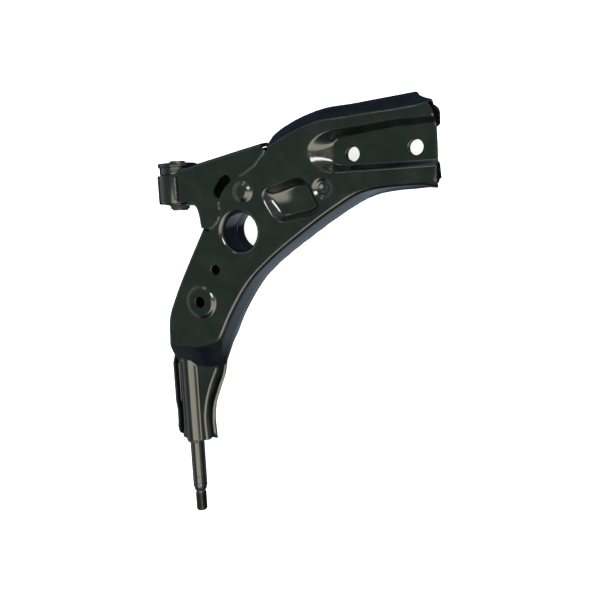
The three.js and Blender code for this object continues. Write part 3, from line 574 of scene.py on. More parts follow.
def graded_grid(lower, fine, coarse):
    sets = []

    def put(P, r):
        if len(P):
            sets.append(np.c_[P[:, :2], np.full(len(P), r)])
    h = fine
    rec = recess_curve()
    rd = lambda q: recess_dist(q[:, 0], q[:, 1])
    if lower:
        put(offset_rings(rec, 1, np.arange(2.6, 14.6, h), h * 1.2, rd), h * 0.62)
    else:
        put(offset_rings(rec, 1, np.arange(-h, 8.4, h * 0.8), h * 1.1, rd), h * 0.55)
        pd = lambda q: np.where(inside(q, POCKET_FINE), edge_dist(q, POCKET_FINE), -edge_dist(q, POCKET_FINE))
        put(offset_rings(POCKET_FINE, 1, np.arange(-h, 11.4, h * 0.8), h * 1.1, pd), h * 0.55)
        put(ring_set(DIMPLE[0], DIMPLE[1], np.arange(0.6, DIMPLE[2] + 1.6, h * 0.8), h), h * 0.55)
        put(ring_set(DENT[0], DENT[1], np.arange(0.6, DENT[2] + 1.6, h * 0.8), h), h * 0.55)
        put(ring_set(STAB[0], STAB[1], np.arange(STAB[2] + 1.4, STAB[3] + 1.6, h * 0.8), h), h * 0.55)
    # the tail: rows square to the pivot axis, close together where the ridge breaks out of the plate
    xs = np.unique(np.r_[np.arange(-13.2, -8.2, h * 0.55), np.arange(-8.2, 8.3, h), np.arange(8.3, 13.3, h * 0.55)])
    ys = np.arange(-272, -140, h * 1.4)
    X, Y = np.meshgrid(xs, ys)
    put(np.c_[X.ravel(), Y.ravel()], h * 0.4)
    if not lower:
        A = hexgrid(155, 200, -2, 48, h * 1.1)
        put(A[recess_dist(A[:, 0], A[:, 1]) > 0], h * 0.8)
        A = hexgrid(105, 167, -42, 4, h * 1.1)
        put(A[inside(A, POCKET_FINE)], h * 0.8)
    D = hexgrid(-30, 60, -200, -136, 2.2)
    put(D, 1.5)
    if not lower:
        put(hexgrid(150, 272, -4, 54, 2.2), 1.6)
    put(hexgrid(-30, 285, -285, 80, coarse), coarse * 0.75)
    return thin(np.vstack(sets).tolist())


def near(R, x, y):
    return int(np.argmin((R[:, 0] - x) ** 2 + (R[:, 1] - y) ** 2))


def span(R, N, i, j):
    n = len(R)
    if j < i:
        j += n
    k = np.arange(i, j + 1) % n
    return R[k].copy(), N[k].copy()


def ease_end(R, face, from_end, length, last_drop, at_start=True):
    """Cuts a flange back towards its end: the drop and the run shrink over a length of the fold line."""
    s = np.r_[0, np.cumsum(np.hypot(*np.diff(R[:, :2], axis=0).T))]
    if not at_start:
        s = s[-1] - s
    t = np.clip(s / length, 0, 1)
    z = face(R[:, 0], R[:, 1])
    drop = np.abs(z - R[:, 3])
    nd = lerp(np.minimum(drop, last_drop), drop, np.power(t, from_end))
    R[:, 2] *= nd / drop
    sgn = np.sign(z - R[:, 3])
    R[:, 3] = z - sgn * nd
    return R


FINE, COARSE, STEP = ((1.25, 3.6, 1.6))

FULL = catmull(UPPER[::-1], STEP)
NRM = normals_of(FULL)


def densify(pts, step=1.6):
    return catmull(np.asarray(pts, float), step, closed=False)


# ---------------------------------------------------------------- materials
def new_mat(name):
    m = bpy.data.materials.new(name)
    m.use_nodes = True
    nt = m.node_tree
    nt.nodes.clear()
    out = nt.nodes.new("ShaderNodeOutputMaterial")
    bs = nt.nodes.new("ShaderNodeBsdfPrincipled")
    nt.links.new(bs.outputs[0], out.inputs[0])
    return m, nt, bs


def coords(nt, scale=1.0):
    tc = nt.nodes.new("ShaderNodeTexCoord")
    mp = nt.nodes.new("ShaderNodeMapping")
    mp.inputs["Scale"].default_value = (scale, scale, scale)
    nt.links.new(tc.outputs["Object"], mp.inputs[0])
    return mp.outputs[0]


def noise(nt, co, scale, detail=3, rough=0.5):
    n = nt.nodes.new("ShaderNodeTexNoise")
    n.inputs["Scale"].default_value = scale
    n.inputs["Detail"].default_value = detail
    n.inputs["Roughness"].default_value = rough
    nt.links.new(co, n.inputs["Vector"])
    return n.outputs["Fac"]


def ramp(nt, fac, stops):
    r = nt.nodes.new("ShaderNodeValToRGB")
    els = r.color_ramp.elements
    while len(els) < len(stops):
        els.new(0.5)
    for e, (p, c) in zip(els, stops):
        e.position = p
        e.color = (*c, 1) if len(c) == 3 else c
    nt.links.new(fac, r.inputs[0])
    return r.outputs[0]


def maprange(nt, fac, a, b, c, d):
    m = nt.nodes.new("ShaderNodeMapRange")
    for k, v in zip(("From Min", "From Max", "To Min", "To Max"), (a, b, c, d)):
        m.inputs[k].default_value = v
    nt.links.new(fac, m.inputs["Value"])
    return m.outputs[0]


def bump(nt, h, strength, dist, normal=None):
    b = nt.nodes.new("ShaderNodeBump")
    b.inputs["Strength"].default_value = strength
    b.inputs["Distance"].default_value = dist
    nt.links.new(h, b.inputs["Height"])
    if normal is not None:
        nt.links.new(normal, b.inputs["Normal"])
    return b.outputs[0]


def mix_col(nt, fac, a, b):
    m = nt.nodes.new("ShaderNodeMix")
    m.data_type = "RGBA"
    nt.links.new(fac, m.inputs[0])
    for s, v in ((6, a), (7, b)):
        if isinstance(v, tuple):
            m.inputs[s].default_value = (*v, 1)
        else:
            nt.links.new(v, m.inputs[s])
    return m.outputs[2]


def paint(name, base=(0.0026, 0.0036, 0.0032), rough=0.17, wave=0.3, grain=0.12, dust=0.18):
    """Dipped and stoved black paint on pressed steel: slow draw marks in the sheet, orange peel,
    a greenish-black colour that shifts a little, paler dusty bloom and worn, thinner paint on edges."""
    m, nt, bs = new_mat(name)
    co = coords(nt)
    big = noise(nt, co, 9, 2, 0.5)
    mid = noise(nt, co, 55, 3, 0.55)
    peel = noise(nt, co, 620, 2, 0.5)
    speck = noise(nt, co, 1500, 1, 0.5)
    c1 = mix_col(nt, maprange(nt, big, 0.35, 0.65, 0, 1), tuple(c * 0.75 for c in base), tuple(c * 1.25 for c in base))
    dusty = ramp(nt, mid, [(0.45, (0, 0, 0)), (0.75, (dust * 0.02, dust * 0.02, dust * 0.02))])
    add = nt.nodes.new("ShaderNodeMix"); add.data_type = "RGBA"; add.blend_type = "ADD"
    add.inputs[0].default_value = 1.0
    nt.links.new(c1, add.inputs[6]); nt.links.new(dusty, add.inputs[7])
    geo = nt.nodes.new("ShaderNodeNewGeometry")
    edge = ramp(nt, geo.outputs["Pointiness"], [(0.53, (0, 0, 0)), (0.62, (1, 1, 1))])
    em = nt.nodes.new("ShaderNodeMath"); em.operation = "MULTIPLY"
    nt.links.new(edge, em.inputs[0]); nt.links.new(maprange(nt, mid, 0.4, 0.7, 0.1, 0.7), em.inputs[1])
    col = mix_col(nt, em.outputs[0], add.outputs[2], (0.016, 0.018, 0.018))
    nt.links.new(col, bs.inputs["Base Color"])
    r1 = maprange(nt, mid, 0.3, 0.7, rough - 0.04, rough + 0.07)
    nt.links.new(r1, bs.inputs["Roughness"])
    bs.inputs["Metallic"].default_value = 0.0
    bs.inputs["Specular IOR Level"].default_value = 0.5
    bs.inputs["Coat Weight"].default_value = 0.35
    bs.inputs["Coat Roughness"].default_value = 0.07
    n1 = bump(nt, noise(nt, co, 28, 2, 0.45), wave, 0.0011)
    n2 = bump(nt, peel, grain, 0.00012, n1)
    n3 = bump(nt, speck, grain * 0.35, 0.00006, n2)
    nt.links.new(n3, bs.inputs["Normal"])
    nt.links.new(n2, bs.inputs["Coat Normal"])
    return m


def weld_paint(name):
    m, nt, bs = new_mat(name)
    co = coords(nt)
    a = noise(nt, co, 420, 4, 0.6)
    b = noise(nt, co, 130, 3, 0.5)
    nt.links.new(mix_col(nt, maprange(nt, b, 0.35, 0.65, 0, 1), (0.006, 0.008, 0.0075), (0.018, 0.021, 0.02)), bs.inputs["Base Color"])
    nt.links.new(maprange(nt, a, 0.3, 0.7, 0.2, 0.42), bs.inputs["Roughness"])
    bs.inputs["Coat Weight"].default_value = 0.3
    bs.inputs["Coat Roughness"].default_value = 0.12
    nt.links.new(bump(nt, a, 0.5, 0.0004), bs.inputs["Normal"])
    return m


def rubber(name):
    m, nt, bs = new_mat(name)
    co = coords(nt)
    a = noise(nt, co, 900, 3, 0.6)
    b = noise(nt, co, 60, 3, 0.5)
    nt.links.new(mix_col(nt, maprange(nt, b, 0.3, 0.7, 0, 1), (0.008, 0.008, 0.0085), (0.022, 0.022, 0.023)), bs.inputs["Base Color"])
    nt.links.new(maprange(nt, b, 0.3, 0.7, 0.5, 0.75), bs.inputs["Roughness"])
    bs.inputs["Specular IOR Level"].default_value = 0.4
    nt.links.new(bump(nt, a, 0.35, 0.00015), bs.inputs["Normal"])
    return m


def steel(name, tone=0.12, rough=0.38):
    """Dark passivated steel with turning marks round the pivot axis."""
    m, nt, bs = new_mat(name)
    tc = nt.nodes.new("ShaderNodeTexCoord")
    mp = nt.nodes.new("ShaderNodeMapping")
    mp.inputs["Scale"].default_value = (40, 2200, 40)
    nt.links.new(tc.outputs["Object"], mp.inputs[0])
    a = noise(nt, mp.outputs[0], 1.0, 2, 0.6)
    co = coords(nt)
    b = noise(nt, co, 80, 3, 0.55)
    nt.links.new(mix_col(nt, maprange(nt, b, 0.3, 0.7, 0, 1), (tone * 0.6, tone * 0.62, tone * 0.64), (tone * 1.2, tone * 1.2, tone * 1.15)), bs.inputs["Base Color"])
    bs.inputs["Metallic"].default_value = 0.85
    nt.links.new(maprange(nt, b, 0.3, 0.7, rough - 0.06, rough + 0.14), bs.inputs["Roughness"])
    nt.links.new(bump(nt, a, 0.25, 0.00012), bs.inputs["Normal"])
    return m


PAINT = paint("gloss_black_paint")
PAINT_TURNED = paint("black_paint_on_turned_steel", wave=0.12, grain=0.16)
WELD = weld_paint("painted_weld")
RUBBER = rubber("bush_rubber_compound")
STEEL = steel("passivated_sleeve_steel")

# ---------------------------------------------------------------- upper shell
R1, N1 = span(FULL, NRM, near(FULL, 15.3, -269.2), near(FULL, 270.6, -11.4))
R2, N2 = span(FULL, NRM, near(FULL, 263.6, 53.0), near(FULL, 114.2, 29.9))
R3, N3 = span(FULL, NRM, near(FULL, 38.6, -44.6), near(FULL, -11.6, -269.2))
R1 = ease_end(R1, upper_face, 0.6, 7, 4.2)
R2 = ease_end(R2, upper_face, 1.0, 15, 3.0)
R3 = ease_end(R3, upper_face, 0.6, 7, 4.2, at_start=False)
R1 = ease_end(R1, upper_face, 0.7, 6.5, 7.0, at_start=False)
end_cut = densify([[271.2, -6], [271.2, 0], [270.8, 20], [270.1, 35], [269.2, 42], [268.3, 46.2], [266.6, 49.9], [265.0, 52.2]], 1.6)
seam_cut = densify(SEAM[3:-1], 1.6)[:-1]
tail_cut = densify([[-9.0, -269.6], [0, -269.6], [12.2, -269.6]], 1.2)
segs = [("flange", R1, N1), ("cut", end_cut), ("flange", R2, N2), ("cut", seam_cut), ("flange", R3, N3), ("cut", tail_cut)]
loops = [flanged_bore(*HOLE[:4], Z_TOP - 19), plain_hole(STAB[0], STAB[1], STAB[2]), plain_hole(*SMALL), *[plain_hole(x, y, BOLT_R, 56) for x, y in BOLTS]]
B = pressing(segs, upper_face, 1, BEND, loops, graded_grid(False, FINE, COARSE), spacing=STEP)
make_object("upper_shell_pressing", B.v, B.f, "arm", "upper_shell", PAINT, sharp=38)

# ---------------------------------------------------------------- lower shell
rt = smooth((FULL[:, 0] - 4) / 8)
lap = smooth((lerp(-161, -168, rt) - FULL[:, 1]) / lerp(15, 32, rt))
rise = smooth((lerp(-177, -186, rt) - FULL[:, 1]) / lerp(12, 26, rt))
fr = smooth((NRM[:, 1] - 0.75) / 0.15) * smooth((FULL[:, 0] - 110) / 20)
LEAN = lerp(lerp(lerp(2.6, 4.2, rt * smooth((-95 - FULL[:, 1]) / 45)), 7.6, fr), 2.2, lap)
narrow = 1.5 * smooth((-228 - FULL[:, 1]) / 14) * (1 - rt)
RIM_OUT = lerp(FULL[:, 2] - 2.4, FULL[:, 2] + lerp(6.0, 4.6, rt) - narrow, lap)
RIM_Z = lerp(FULL[:, 3] - 0.45, 24.4, rise)
off = RIM_OUT - LEAN
LOW = np.c_[FULL[:, 0] + NRM[:, 0] * off, FULL[:, 1] + NRM[:, 1] * off, LEAN, RIM_Z]
L1, M1 = span(LOW, NRM, near(LOW, 17.5, -269.9), near(LOW, 263.4, -8.7))
L2, M2 = span(LOW, NRM, near(LOW, 259.4, 57.4), near(LOW, 107.6, 33.6))
L3, M3 = span(LOW, NRM, near(LOW, 49.0, -24.0), near(LOW, -14.0, -269.9))
L1 = ease_end(L1, lower_face, 0.6, 8, 3.8)
L1 = ease_end(L1, lower_face, 0.7, 7, 8.0, at_start=False)
L2 = ease_end(L2, lower_face, 1.0, 10, 4.0)
L2 = ease_end(L2, lower_face, 0.7, 12, 9.0, at_start=False)
L3 = ease_end(L3, lower_face, 0.7, 12, 9.0)
L3 = ease_end(L3, lower_face, 0.6, 8, 3.8, at_start=False)
lend = densify([[266.4, -6.4], [266.0, -2], [265.4, 4], [265.0, 20], [265.6, 40], [265.6, 49], [264.6, 52.8], [261.8, 55.8]], 1.6)
lfront = densify([[104.6, 28], [99, 20], [92, 13.5], [82, 8.6], [71, 3.4], [62.5, -5.6], [57.4, -14]], 1.6)
ltail = densify([[-11, -270.2], [0, -270.2], [14, -270.2]], 1.2)
segs = [("flange", L1, M1), ("cut", lend), ("flange", L2, M2), ("cut", lfront), ("flange", L3, M3), ("cut", ltail)]
loops = [flanged_bore(*HOLE[:4], 17.4), plain_hole(STAB[0], STAB[1], STAB[2]), plain_hole(*SMALL), *[plain_hole(x, y, BOLT_R, 56) for x, y in BOLTS]]
B = pressing(segs, lower_face, -1, BEND, loops, graded_grid(True, FINE * 1.3, COARSE), spacing=STEP)
make_object("lower_shell_pressing", B.v, B.f, "arm", "lower_shell", PAINT, sharp=38)

# ---------------------------------------------------------------- front bracket
BR = catmull([[*p, 2.0, 26.0] for p in BRACKET_LINE], STEP)
BN = normals_of(BR)
cyl = Z_PIVOT + np.sqrt(np.maximum((EYE_RO + 0.3) ** 2 - BR[:, 0] ** 2, 0))
BR[:, 3] = np.where(np.abs(BR[:, 0]) < EYE_RO + 0.3, np.maximum(BR[:, 3], cyl), BR[:, 3])
flat = lambda x, y: np.full(np.shape(np.asarray(x, float)), BRACKET_TOP)


def bracket_back(x, y, z):
    c = Z_PIVOT + np.sqrt(np.maximum((EYE_RO + 0.1) ** 2 - np.asarray(x, float) ** 2, 0))
    return np.minimum(np.maximum(z - SHEET, c), z - 0.35)


b1, q1 = span(BR, BN, near(BR, 13.2, -17.6), near(BR, 35.3, -42.9))
b2, q2 = span(BR, BN, near(BR, 106.4, 33.6), near(BR, 13.4, 14.2))
tongue = densify([[38.6, -44.2], [43.6, -44.3], [48.6, -43.6], [53.6, -41.2], [55.2, -37.4], [58.2, -33], [61.6, -29], [63.6, -24], [64.6, -18.5],
                  [68.4, -11.4], [72.8, -3.8], [76, 0.9], [81.2, 3.9], [88, 4.9], [95.5, 7.2], [102, 9.8], [107, 14], [110.0, 19.4], [110.5, 24.5], [109.4, 28.4]], 2.0)
eye_cut = densify([[10.8, 12.4], [7.4, 10.0], [6.9, 6], [6.9, -12], [7.4, -15.0], [10.4, -16.6]], 1.6)
oa = math.radians(51)
half, wid = 6.0, 6.5
ang = np.linspace(0, 2 * np.pi, 72, endpoint=False)


class SlotLoop(dict):
    pass


def slot_pts(e):
    u = (wid + e) * np.cos(ang) + np.where(np.cos(ang) > 1e-3, half, np.where(np.cos(ang) < -1e-3, -half, 0))
    v = (wid + e) * np.sin(ang)
    return np.c_[62.8 + u * math.cos(oa) - v * math.sin(oa), -3.6 + u * math.sin(oa) + v * math.cos(oa)]


segs = [("flange", b1, q1), ("cut", tongue), ("flange", b2, q2), ("cut", eye_cut)]
G = hexgrid(0, 130, -60, 40, 2.4)
G = G[~inside(G, slot_pts(1.4))]
B = pressing(segs, flat, 1, 4.2, [], G, back=bracket_back, spacing=STEP)
# the oval window: open the two faces and wall the opening
V = np.array(B.v)
inner_poly = slot_pts(0.0)


def open_window(B):
    """Cuts the oval window by knife: boolean difference with an oval prism."""
    me = bpy.data.meshes.new("bracket_tmp")
    me.from_pydata(B.v, [], [list(f) for f in B.f])
    me.update()
    ob = bpy.data.objects.new("bracket_tmp", me)
    scene.collection.objects.link(ob)
    n = len(ang)
    lowz, topz = [], []
    P = slot_pts(0)
    verts = [(x, y, 30.0) for x, y in P] + [(x, y, 60.0) for x, y in P]
    faces = [tuple(range(n))[::-1], tuple(range(n, 2 * n))] + [(i, (i + 1) % n, n + (i + 1) % n, n + i) for i in range(n)]
    cm = bpy.data.meshes.new("cut_tmp"); cm.from_pydata(verts, [], faces); cm.update()
    co = bpy.data.objects.new("cut_tmp", cm); scene.collection.objects.link(co)
    md = ob.modifiers.new("cut", "BOOLEAN"); md.operation = "DIFFERENCE"; md.solver = "EXACT"; md.object = co
    dg = bpy.context.evaluated_depsgraph_get()
    ev = ob.evaluated_get(dg).to_mesh()
    V = [tuple(v.co) for v in ev.vertices]; F = [tuple(p.vertices) for p in ev.polygons]
    ob.evaluated_get(dg).to_mesh_clear()
    bpy.data.objects.remove(ob); bpy.data.objects.remove(co)
    return V, F


V, F = open_window(B)
make_object("front_bracket_pressing", V, F, "arm", "front_bracket", PAINT, sharp=38)


# plate that closes the box below the bracket
CLOSING = [[22.5, -17.6], [28.4, -19.3], [32.6, -26], [34.2, -32], [35.4, -38], [43.4, -41.6], [49.6, -41.6], [55.6, -37], [58.6, -29], [58, -20.6], [59.4, -13.6],
           [65.2, -4.8], [73.8, 2.8], [80.6, 5.6], [87.4, 7.6], [93.4, 11], [99, 14.6], [103.8, 19.8], [107.6, 24], [109.6, 29.6], [105, 31.6], [80, 26.8], [57.3, 22.4], [40, 19], [22.5, 15.4]]


def flat_plate(name, ring, z0, z1, body, node, mat, e=0.5, seg=3):
    """Flat plate with rounded edges from a closed outline."""
    P = catmull(ring, 2.0)
    n = len(P)
    N = normals_of(P) * (1 if polygon_area(P) > 0 else -1)
    rows = []
    for k in range(seg + 1):
        a = math.pi / 2 * k / seg
        rows.append((e * (1 - math.sin(a)), z1 - e * (1 - math.cos(a))))
    for k in range(seg + 1):
        a = math.pi / 2 * k / seg
        rows.append((e * (1 - math.cos(a)), z0 + e * (1 - math.sin(a))))
    V, F = [], []
    for d, z in rows:
        V.extend([(P[i, 0] - N[i, 0] * d, P[i, 1] - N[i, 1] * d, z) for i in range(n)])
    for r in range(len(rows) - 1):
        for i in range(n):
            j = (i + 1) % n
            F.append((r * n + i, r * n + j, (r + 1) * n + j, (r + 1) * n + i))
    F.append(tuple(range(n)))
    F.append(tuple(range((len(rows) - 1) * n, len(rows) * n))[::-1])
    return make_object(name, V, orient(V, F), body, node, mat, sharp=40)


# ---------------------------------------------------------------- turned parts about the pivot axis
def fillet(profile, default=0.4, seg=4, closed=True):
    """Rounds the corners of a (radius, y, round) profile."""
    pts = [np.array(p[:2], float) for p in profile]
    rr = [p[2] if len(p) > 2 else default for p in profile]
    n = len(pts)
    out = []
    for i in range(n):
        if not closed and i in (0, n - 1):
            out.append(pts[i]); continue
        a, b, c = pts[i - 1], pts[i], pts[(i + 1) % n]
        u, v = a - b, c - b
        lu, lv = np.linalg.norm(u), np.linalg.norm(v)
        r = min(rr[i], 0.45 * lu, 0.45 * lv)
        if r < 1e-3:
            out.append(b); continue
        u, v = u / lu, v / lv
        for k in range(seg + 1):
            t = k / seg
            out.append((1 - t) ** 2 * (b + u * r) + 2 * t * (1 - t) * b + t * t * (b + v * r))
    return np.array(out)


def lathe_mesh(profile, seg=128, closed=True):
    """Revolves a (radius, y) profile about the pivot axis. Radius 0 ends become poles."""
    P = np.asarray(profile)
    th = 2 * np.pi * np.arange(seg) / seg
    V, F, rows = [], [], []
    for r, y in P:
        if r < 1e-6:
            rows.append([len(V)]); V.append((0, y, Z_PIVOT))
        else:
            rows.append(list(range(len(V), len(V) + seg)))
            V.extend([(r * math.sin(t), y, Z_PIVOT + r * math.cos(t)) for t in th])
    m = len(rows)
    for i in range(m if closed else m - 1):
        A, C = rows[i], rows[(i + 1) % m]
        for k in range(seg):
            j = (k + 1) % seg
            if len(A) == 1 and len(C) == 1:
                continue
            if len(A) == 1:
                F.append((A[0], C[k], C[j]))
            elif len(C) == 1:
                F.append((A[k], C[0], A[j]))
            else:
                F.append((A[k], C[k], C[j], A[j]))
    return V, F


def orient(V, F):
    """Faces out: flips the whole set if the enclosed volume is negative."""
    P = np.array(V)
    vol = 0.0
    for f in F:
        a = P[f[0]]
        for k in range(1, len(f) - 1):
            vol += np.dot(a, np.cross(P[f[k]], P[f[k + 1]]))
    return F if vol > 0 else [tuple(reversed(f)) for f in F]


def turned(name, profile, body, node, mat, seg=128, sharp=50, closed=True):
    V, F = lathe_mesh(profile, seg, closed)
    return make_object(name, V, orient(V, F), body, node, mat, sharp=sharp)


flat_plate("bracket_closing_plate_sheet", CLOSING, 22.7, 25.7, "arm", "bracket_closing_plate", PAINT)
turned("bush_eye_tube", fillet([(EYE_RI, EYE_Y0, 0.6), (EYE_RO, EYE_Y0, 2.6), (EYE_RO, EYE_Y1, 0.9), (EYE_RI, EYE_Y1, 0.6)], seg=6), "arm", "bush_eye", PAINT)
turned("bush_outer_sleeve_flanged", fillet([(14.0, -19.0, 0.3), (15.2, -19.0, 0.5), (15.2, 10.8, 0.2), (18.0, 10.8, 0.8), (18.3, 12.2, 0.8), (18.3, 18.0, 0.7), (19.7, 18.7, 1.4), (19.7, 22.2, 1.4), (18.8, 22.6, 0.5), (14.0, 22.5, 0.8)], seg=6),
       "arm", "bush_outer_sleeve", PAINT_TURNED)
turned("bush_rubber_body", fillet([(8.3, -23.4, 0.3), (9.4, -23.4, 0.7), (9.7, -20.8, 0.6), (11.4, -19.0, 0.8), (12.6, -19.5, 0.8), (13.7, -18.6, 0.5), (13.7, 21.4, 0.5), (12.4, 22.4, 0.8), (10.8, 21.6, 0.8), (9.6, 23.0, 0.8), (8.3, 23.0, 0.4)], seg=6),
       "arm", "bush_rubber", RUBBER)
turned("bush_inner_sleeve_tube", fillet([(6.2, -24.8, 0.6), (8.0, -24.8, 0.7), (8.0, 25, 0.7), (6.2, 25, 0.6)], seg=6), "inner_sleeve", "bush_inner_sleeve", STEEL)


# ---------------------------------------------------------------- rear stud with helical thread
def stud_mesh():
    seg = 96
    sh = fillet([(0, -172, 0), (6.5, -172, 0.3), (7.7, -173.2, 0.4), (7.7, -311.9, 0.05), (7.55, -312.2, 0.05), (7.55, -312.9, 0.05), (7.7, -313.2, 0.05),
                 (7.7, -319.9, 0.05), (7.5, -320.3, 0.05), (7.5, -321.2, 0.05), (7.7, -321.6, 0.05), (7.7, -324, 0.5), (6.4, -329, 0.4), (5.1, -329.7, 0.3), (5.1, -331.2, 0.3)], seg=3, closed=False)
    rows = [(r, y, 0) for r, y in sh[1:]]
    ys = np.arange(-331.6, -352.9, -0.15)
    pitch, deep = 1.5, 0.92
    rows += [(None, y, 1) for y in ys]
    V, F, idx = [], [], []
    V.append((0, -172, Z_PIVOT)); idx.append([0])
    th = 2 * np.pi * np.arange(seg) / seg
    for r, y, k in rows:
        base = len(V)
        if k == 0:
            rad = np.full(seg, r)
        else:
            ph = (y / pitch - th / (2 * np.pi)) % 1.0
            tri = 1 - np.abs(2 * ph - 1)
            crest = np.clip((tri - 0.08) / 0.78, 0, 1)
            rad = 6.0 - deep + deep * crest
            a = np.clip((-331.4 - y) / 1.6, 0, 1)                 # thread run-out at the neck
            rad = lerp(5.1, rad, a)
            b = np.clip((y + 353.0) / 1.5, 0, 1)                  # chamfered tip
            rad = np.minimum(rad, lerp(4.6, 6.0, b))
        V.extend(np.c_[rad * np.sin(th), np.full(seg, y), Z_PIVOT + rad * np.cos(th)].tolist())
        idx.append(list(range(base, base + seg)))
    V.append((0, -353.0, Z_PIVOT)); idx.append([len(V) - 1])
    for A, C in zip(idx[:-1], idx[1:]):
        for k in range(seg):
            j = (k + 1) % seg
            if len(A) == 1:
                F.append((A[0], C[k], C[j]))
            elif len(C) == 1:
                F.append((A[k], C[0], A[j]))
            else:
                F.append((A[k], C[k], C[j], A[j]))
    return V, orient(V, F)


V, F = stud_mesh()
make_object("rear_stud_threaded", V, F, "arm", "rear_stud", PAINT_TURNED, sharp=45)


# ---------------------------------------------------------------- weld beads
def bead(name, node, path, r, squash=1.0, seed=0, ripple=1.7, rows=14):
    P = np.asarray(path, float)
    s = np.r_[0, np.cumsum(np.linalg.norm(np.diff(P, axis=0), axis=1))]
    n = max(8, int(s[-1] / 0.45))
    t = np.linspace(0, s[-1], n)
    C = np.c_[[np.interp(t, s, P[:, k]) for k in range(3)]].T
    for _ in range(6):
        C[1:-1] = 0.25 * C[:-2] + 0.5 * C[1:-1] + 0.25 * C[2:]
    T = np.gradient(C, axis=0); T /= np.linalg.norm(T, axis=1)[:, None]
    up = np.array([0, 0, 1.0])
    S = np.cross(T, up); S /= np.linalg.norm(S, axis=1)[:, None]
    U = np.cross(S, T)
    rng = np.random.RandomState(seed)
    wob = np.interp(t, np.linspace(0, s[-1], max(4, int(s[-1] / 5))), rng.uniform(-1, 1, max(4, int(s[-1] / 5))))
    V, F = [], []
    for i in range(n):
        d = min(t[i], s[-1] - t[i])
        cap = math.sqrt(max(0.02, 1 - max(0, 1 - d / (r * 1.1)) ** 2))
        for k in range(rows):
            a = 2 * math.pi * k / rows
            ph = (t[i] + 0.55 * r * math.cos(a) * 0 + 0.9 * math.sin(a) * 0 + 0.8 * abs(math.cos(a))) / ripple
            rr = r * cap * (1 + 0.16 * wob[i] + 0.11 * (1 - 2 * (ph % 1.0)))
            q = C[i] + S[i] * rr * math.cos(a) + U[i] * rr * squash * math.sin(a)
            V.append(tuple(q))
    for i in range(n - 1):
        for k in range(rows):
            j = (k + 1) % rows
            F.append((i * rows + k, (i + 1) * rows + k, (i + 1) * rows + j, i * rows + j))
    F.append(tuple(range(rows))); F.append(tuple(range((n - 1) * rows, n * rows))[::-1])
    make_object(name, V, orient(V, F), "arm", node, WELD, sharp=60)


def offset_line(line, d, z):
    L = np.asarray(line, float)
    g = np.gradient(L, axis=0); g /= np.linalg.norm(g, axis=1)[:, None]
    return np.c_[L[:, 0] - d * g[:, 1], L[:, 1] + d * g[:, 0], np.full(len(L), z)]


def seam_path(test, w=1.15):
    """Centre of the fillet in the step under the upper flange's edge."""
    out = []
    for i in range(len(FULL)):
        p = FULL[i]
        if not test(p):
            continue
        zc = p[3] - GAP - w - 0.12
        h = RIM_Z[i] - float(lower_face(p[0], p[1]))
        o = RIM_OUT[i] - LEAN[i] * (RIM_Z[i] - zc) / h + (w + 0.1) * math.hypot(1, LEAN[i] / h)
        out.append((p[0] + NRM[i, 0] * o, p[1] + NRM[i, 1] * o, zc))
    return out


pz = BRACKET_TOP + 0.9
bead("weld_bracket_front_bead", "weld_bracket_front", offset_line([[112.4, 27.2], [109.8, 21.9], [105.4, 18.0], [100.5, 12.6], [94.4, 9.2], [88.0, 5.6], [82, 3.9]], -1.0, pz), 2.1, 0.9, 1)
bead("weld_bracket_middle_bead", "weld_bracket_middle", [[59.0, -17.0, pz], [58.8, -21, pz], [59.2, -26.5, pz]], 2.1, 0.9, 2)
bead("weld_bracket_rear_bead", "weld_bracket_rear", [[58.9, -31.2, pz], [56.2, -36.6, pz], [50.6, -41.8, pz], [45.6, -44.0, pz]], 2.1, 0.9, 3)
k5 = np.linspace(0, 1, 8)
a = math.radians(64.4); q = EYE_RO + 1.2
bead("weld_eye_upper_bead", "weld_eye_upper", [[q * math.cos(a), lerp(-14.6, 8.8, t), Z_PIVOT + q * math.sin(a)] for t in k5], 1.7, 0.9, 4)
a = math.radians(37.8); q = EYE_RO + 1.3
bead("weld_eye_lower_bead", "weld_eye_lower", [[q * math.cos(a), lerp(-13, 7.4, t), Z_PIVOT + q * math.sin(a)] for t in k5], 1.8, 1.0, 5)
bead("weld_seam_front_bead", "weld_seam_front", seam_path(lambda p: p[1] > 36 and 130 < p[0] < 247), 1.3, 0.95, 6)
bead("weld_seam_inner_bead", "weld_seam_inner", seam_path(lambda p: 66 < p[0] < 232 and -131 < p[1] < -11 and p[1] < 0.62 * p[0] - 95), 1.3, 0.95, 7)
bead("weld_seam_outer_bead", "weld_seam_outer", seam_path(lambda p: p[0] < 36 and -140 < p[1] < -54), 1.3, 0.95, 8)
for nm, y, a0, a1, sd in (("weld_stud_upper", -271.0, 14, 166, 9), ("weld_stud_lower", -271.6, 194, 346, 10)):
    q = 7.7 + 1.3
    aa = [math.radians(lerp(a0, a1, t)) for t in np.linspace(0, 1, 20)]
    bead(nm + "_bead", nm, [[q * math.cos(t), y, Z_PIVOT + q * math.sin(t)] for t in aa], 1.9, 1.0, sd)

# ---------------------------------------------------------------- floor and light
fl = bpy.data.meshes.new("studio_floor")
w = 40.0
fl.from_pydata([(-w, -w, 0), (w, -w, 0), (w, w, 0), (-w, w, 0)], [], [(0, 1, 2, 3)])
floor = bpy.data.objects.new("studio_floor", fl)
scene.collection.objects.link(floor)
fm, nt, bs = new_mat("pale_floor")
bs.inputs["Base Color"].default_value = (0.85, 0.85, 0.85, 1)
bs.inputs["Emission Color"].default_value = (1, 1, 1, 1)
bs.inputs["Emission Strength"].default_value = 0.8
bs.inputs["Roughness"].default_value = 0.9
bs.inputs["Specular IOR Level"].default_value = 0.1
fl.materials.append(fm)
floor.visible_glossy = False

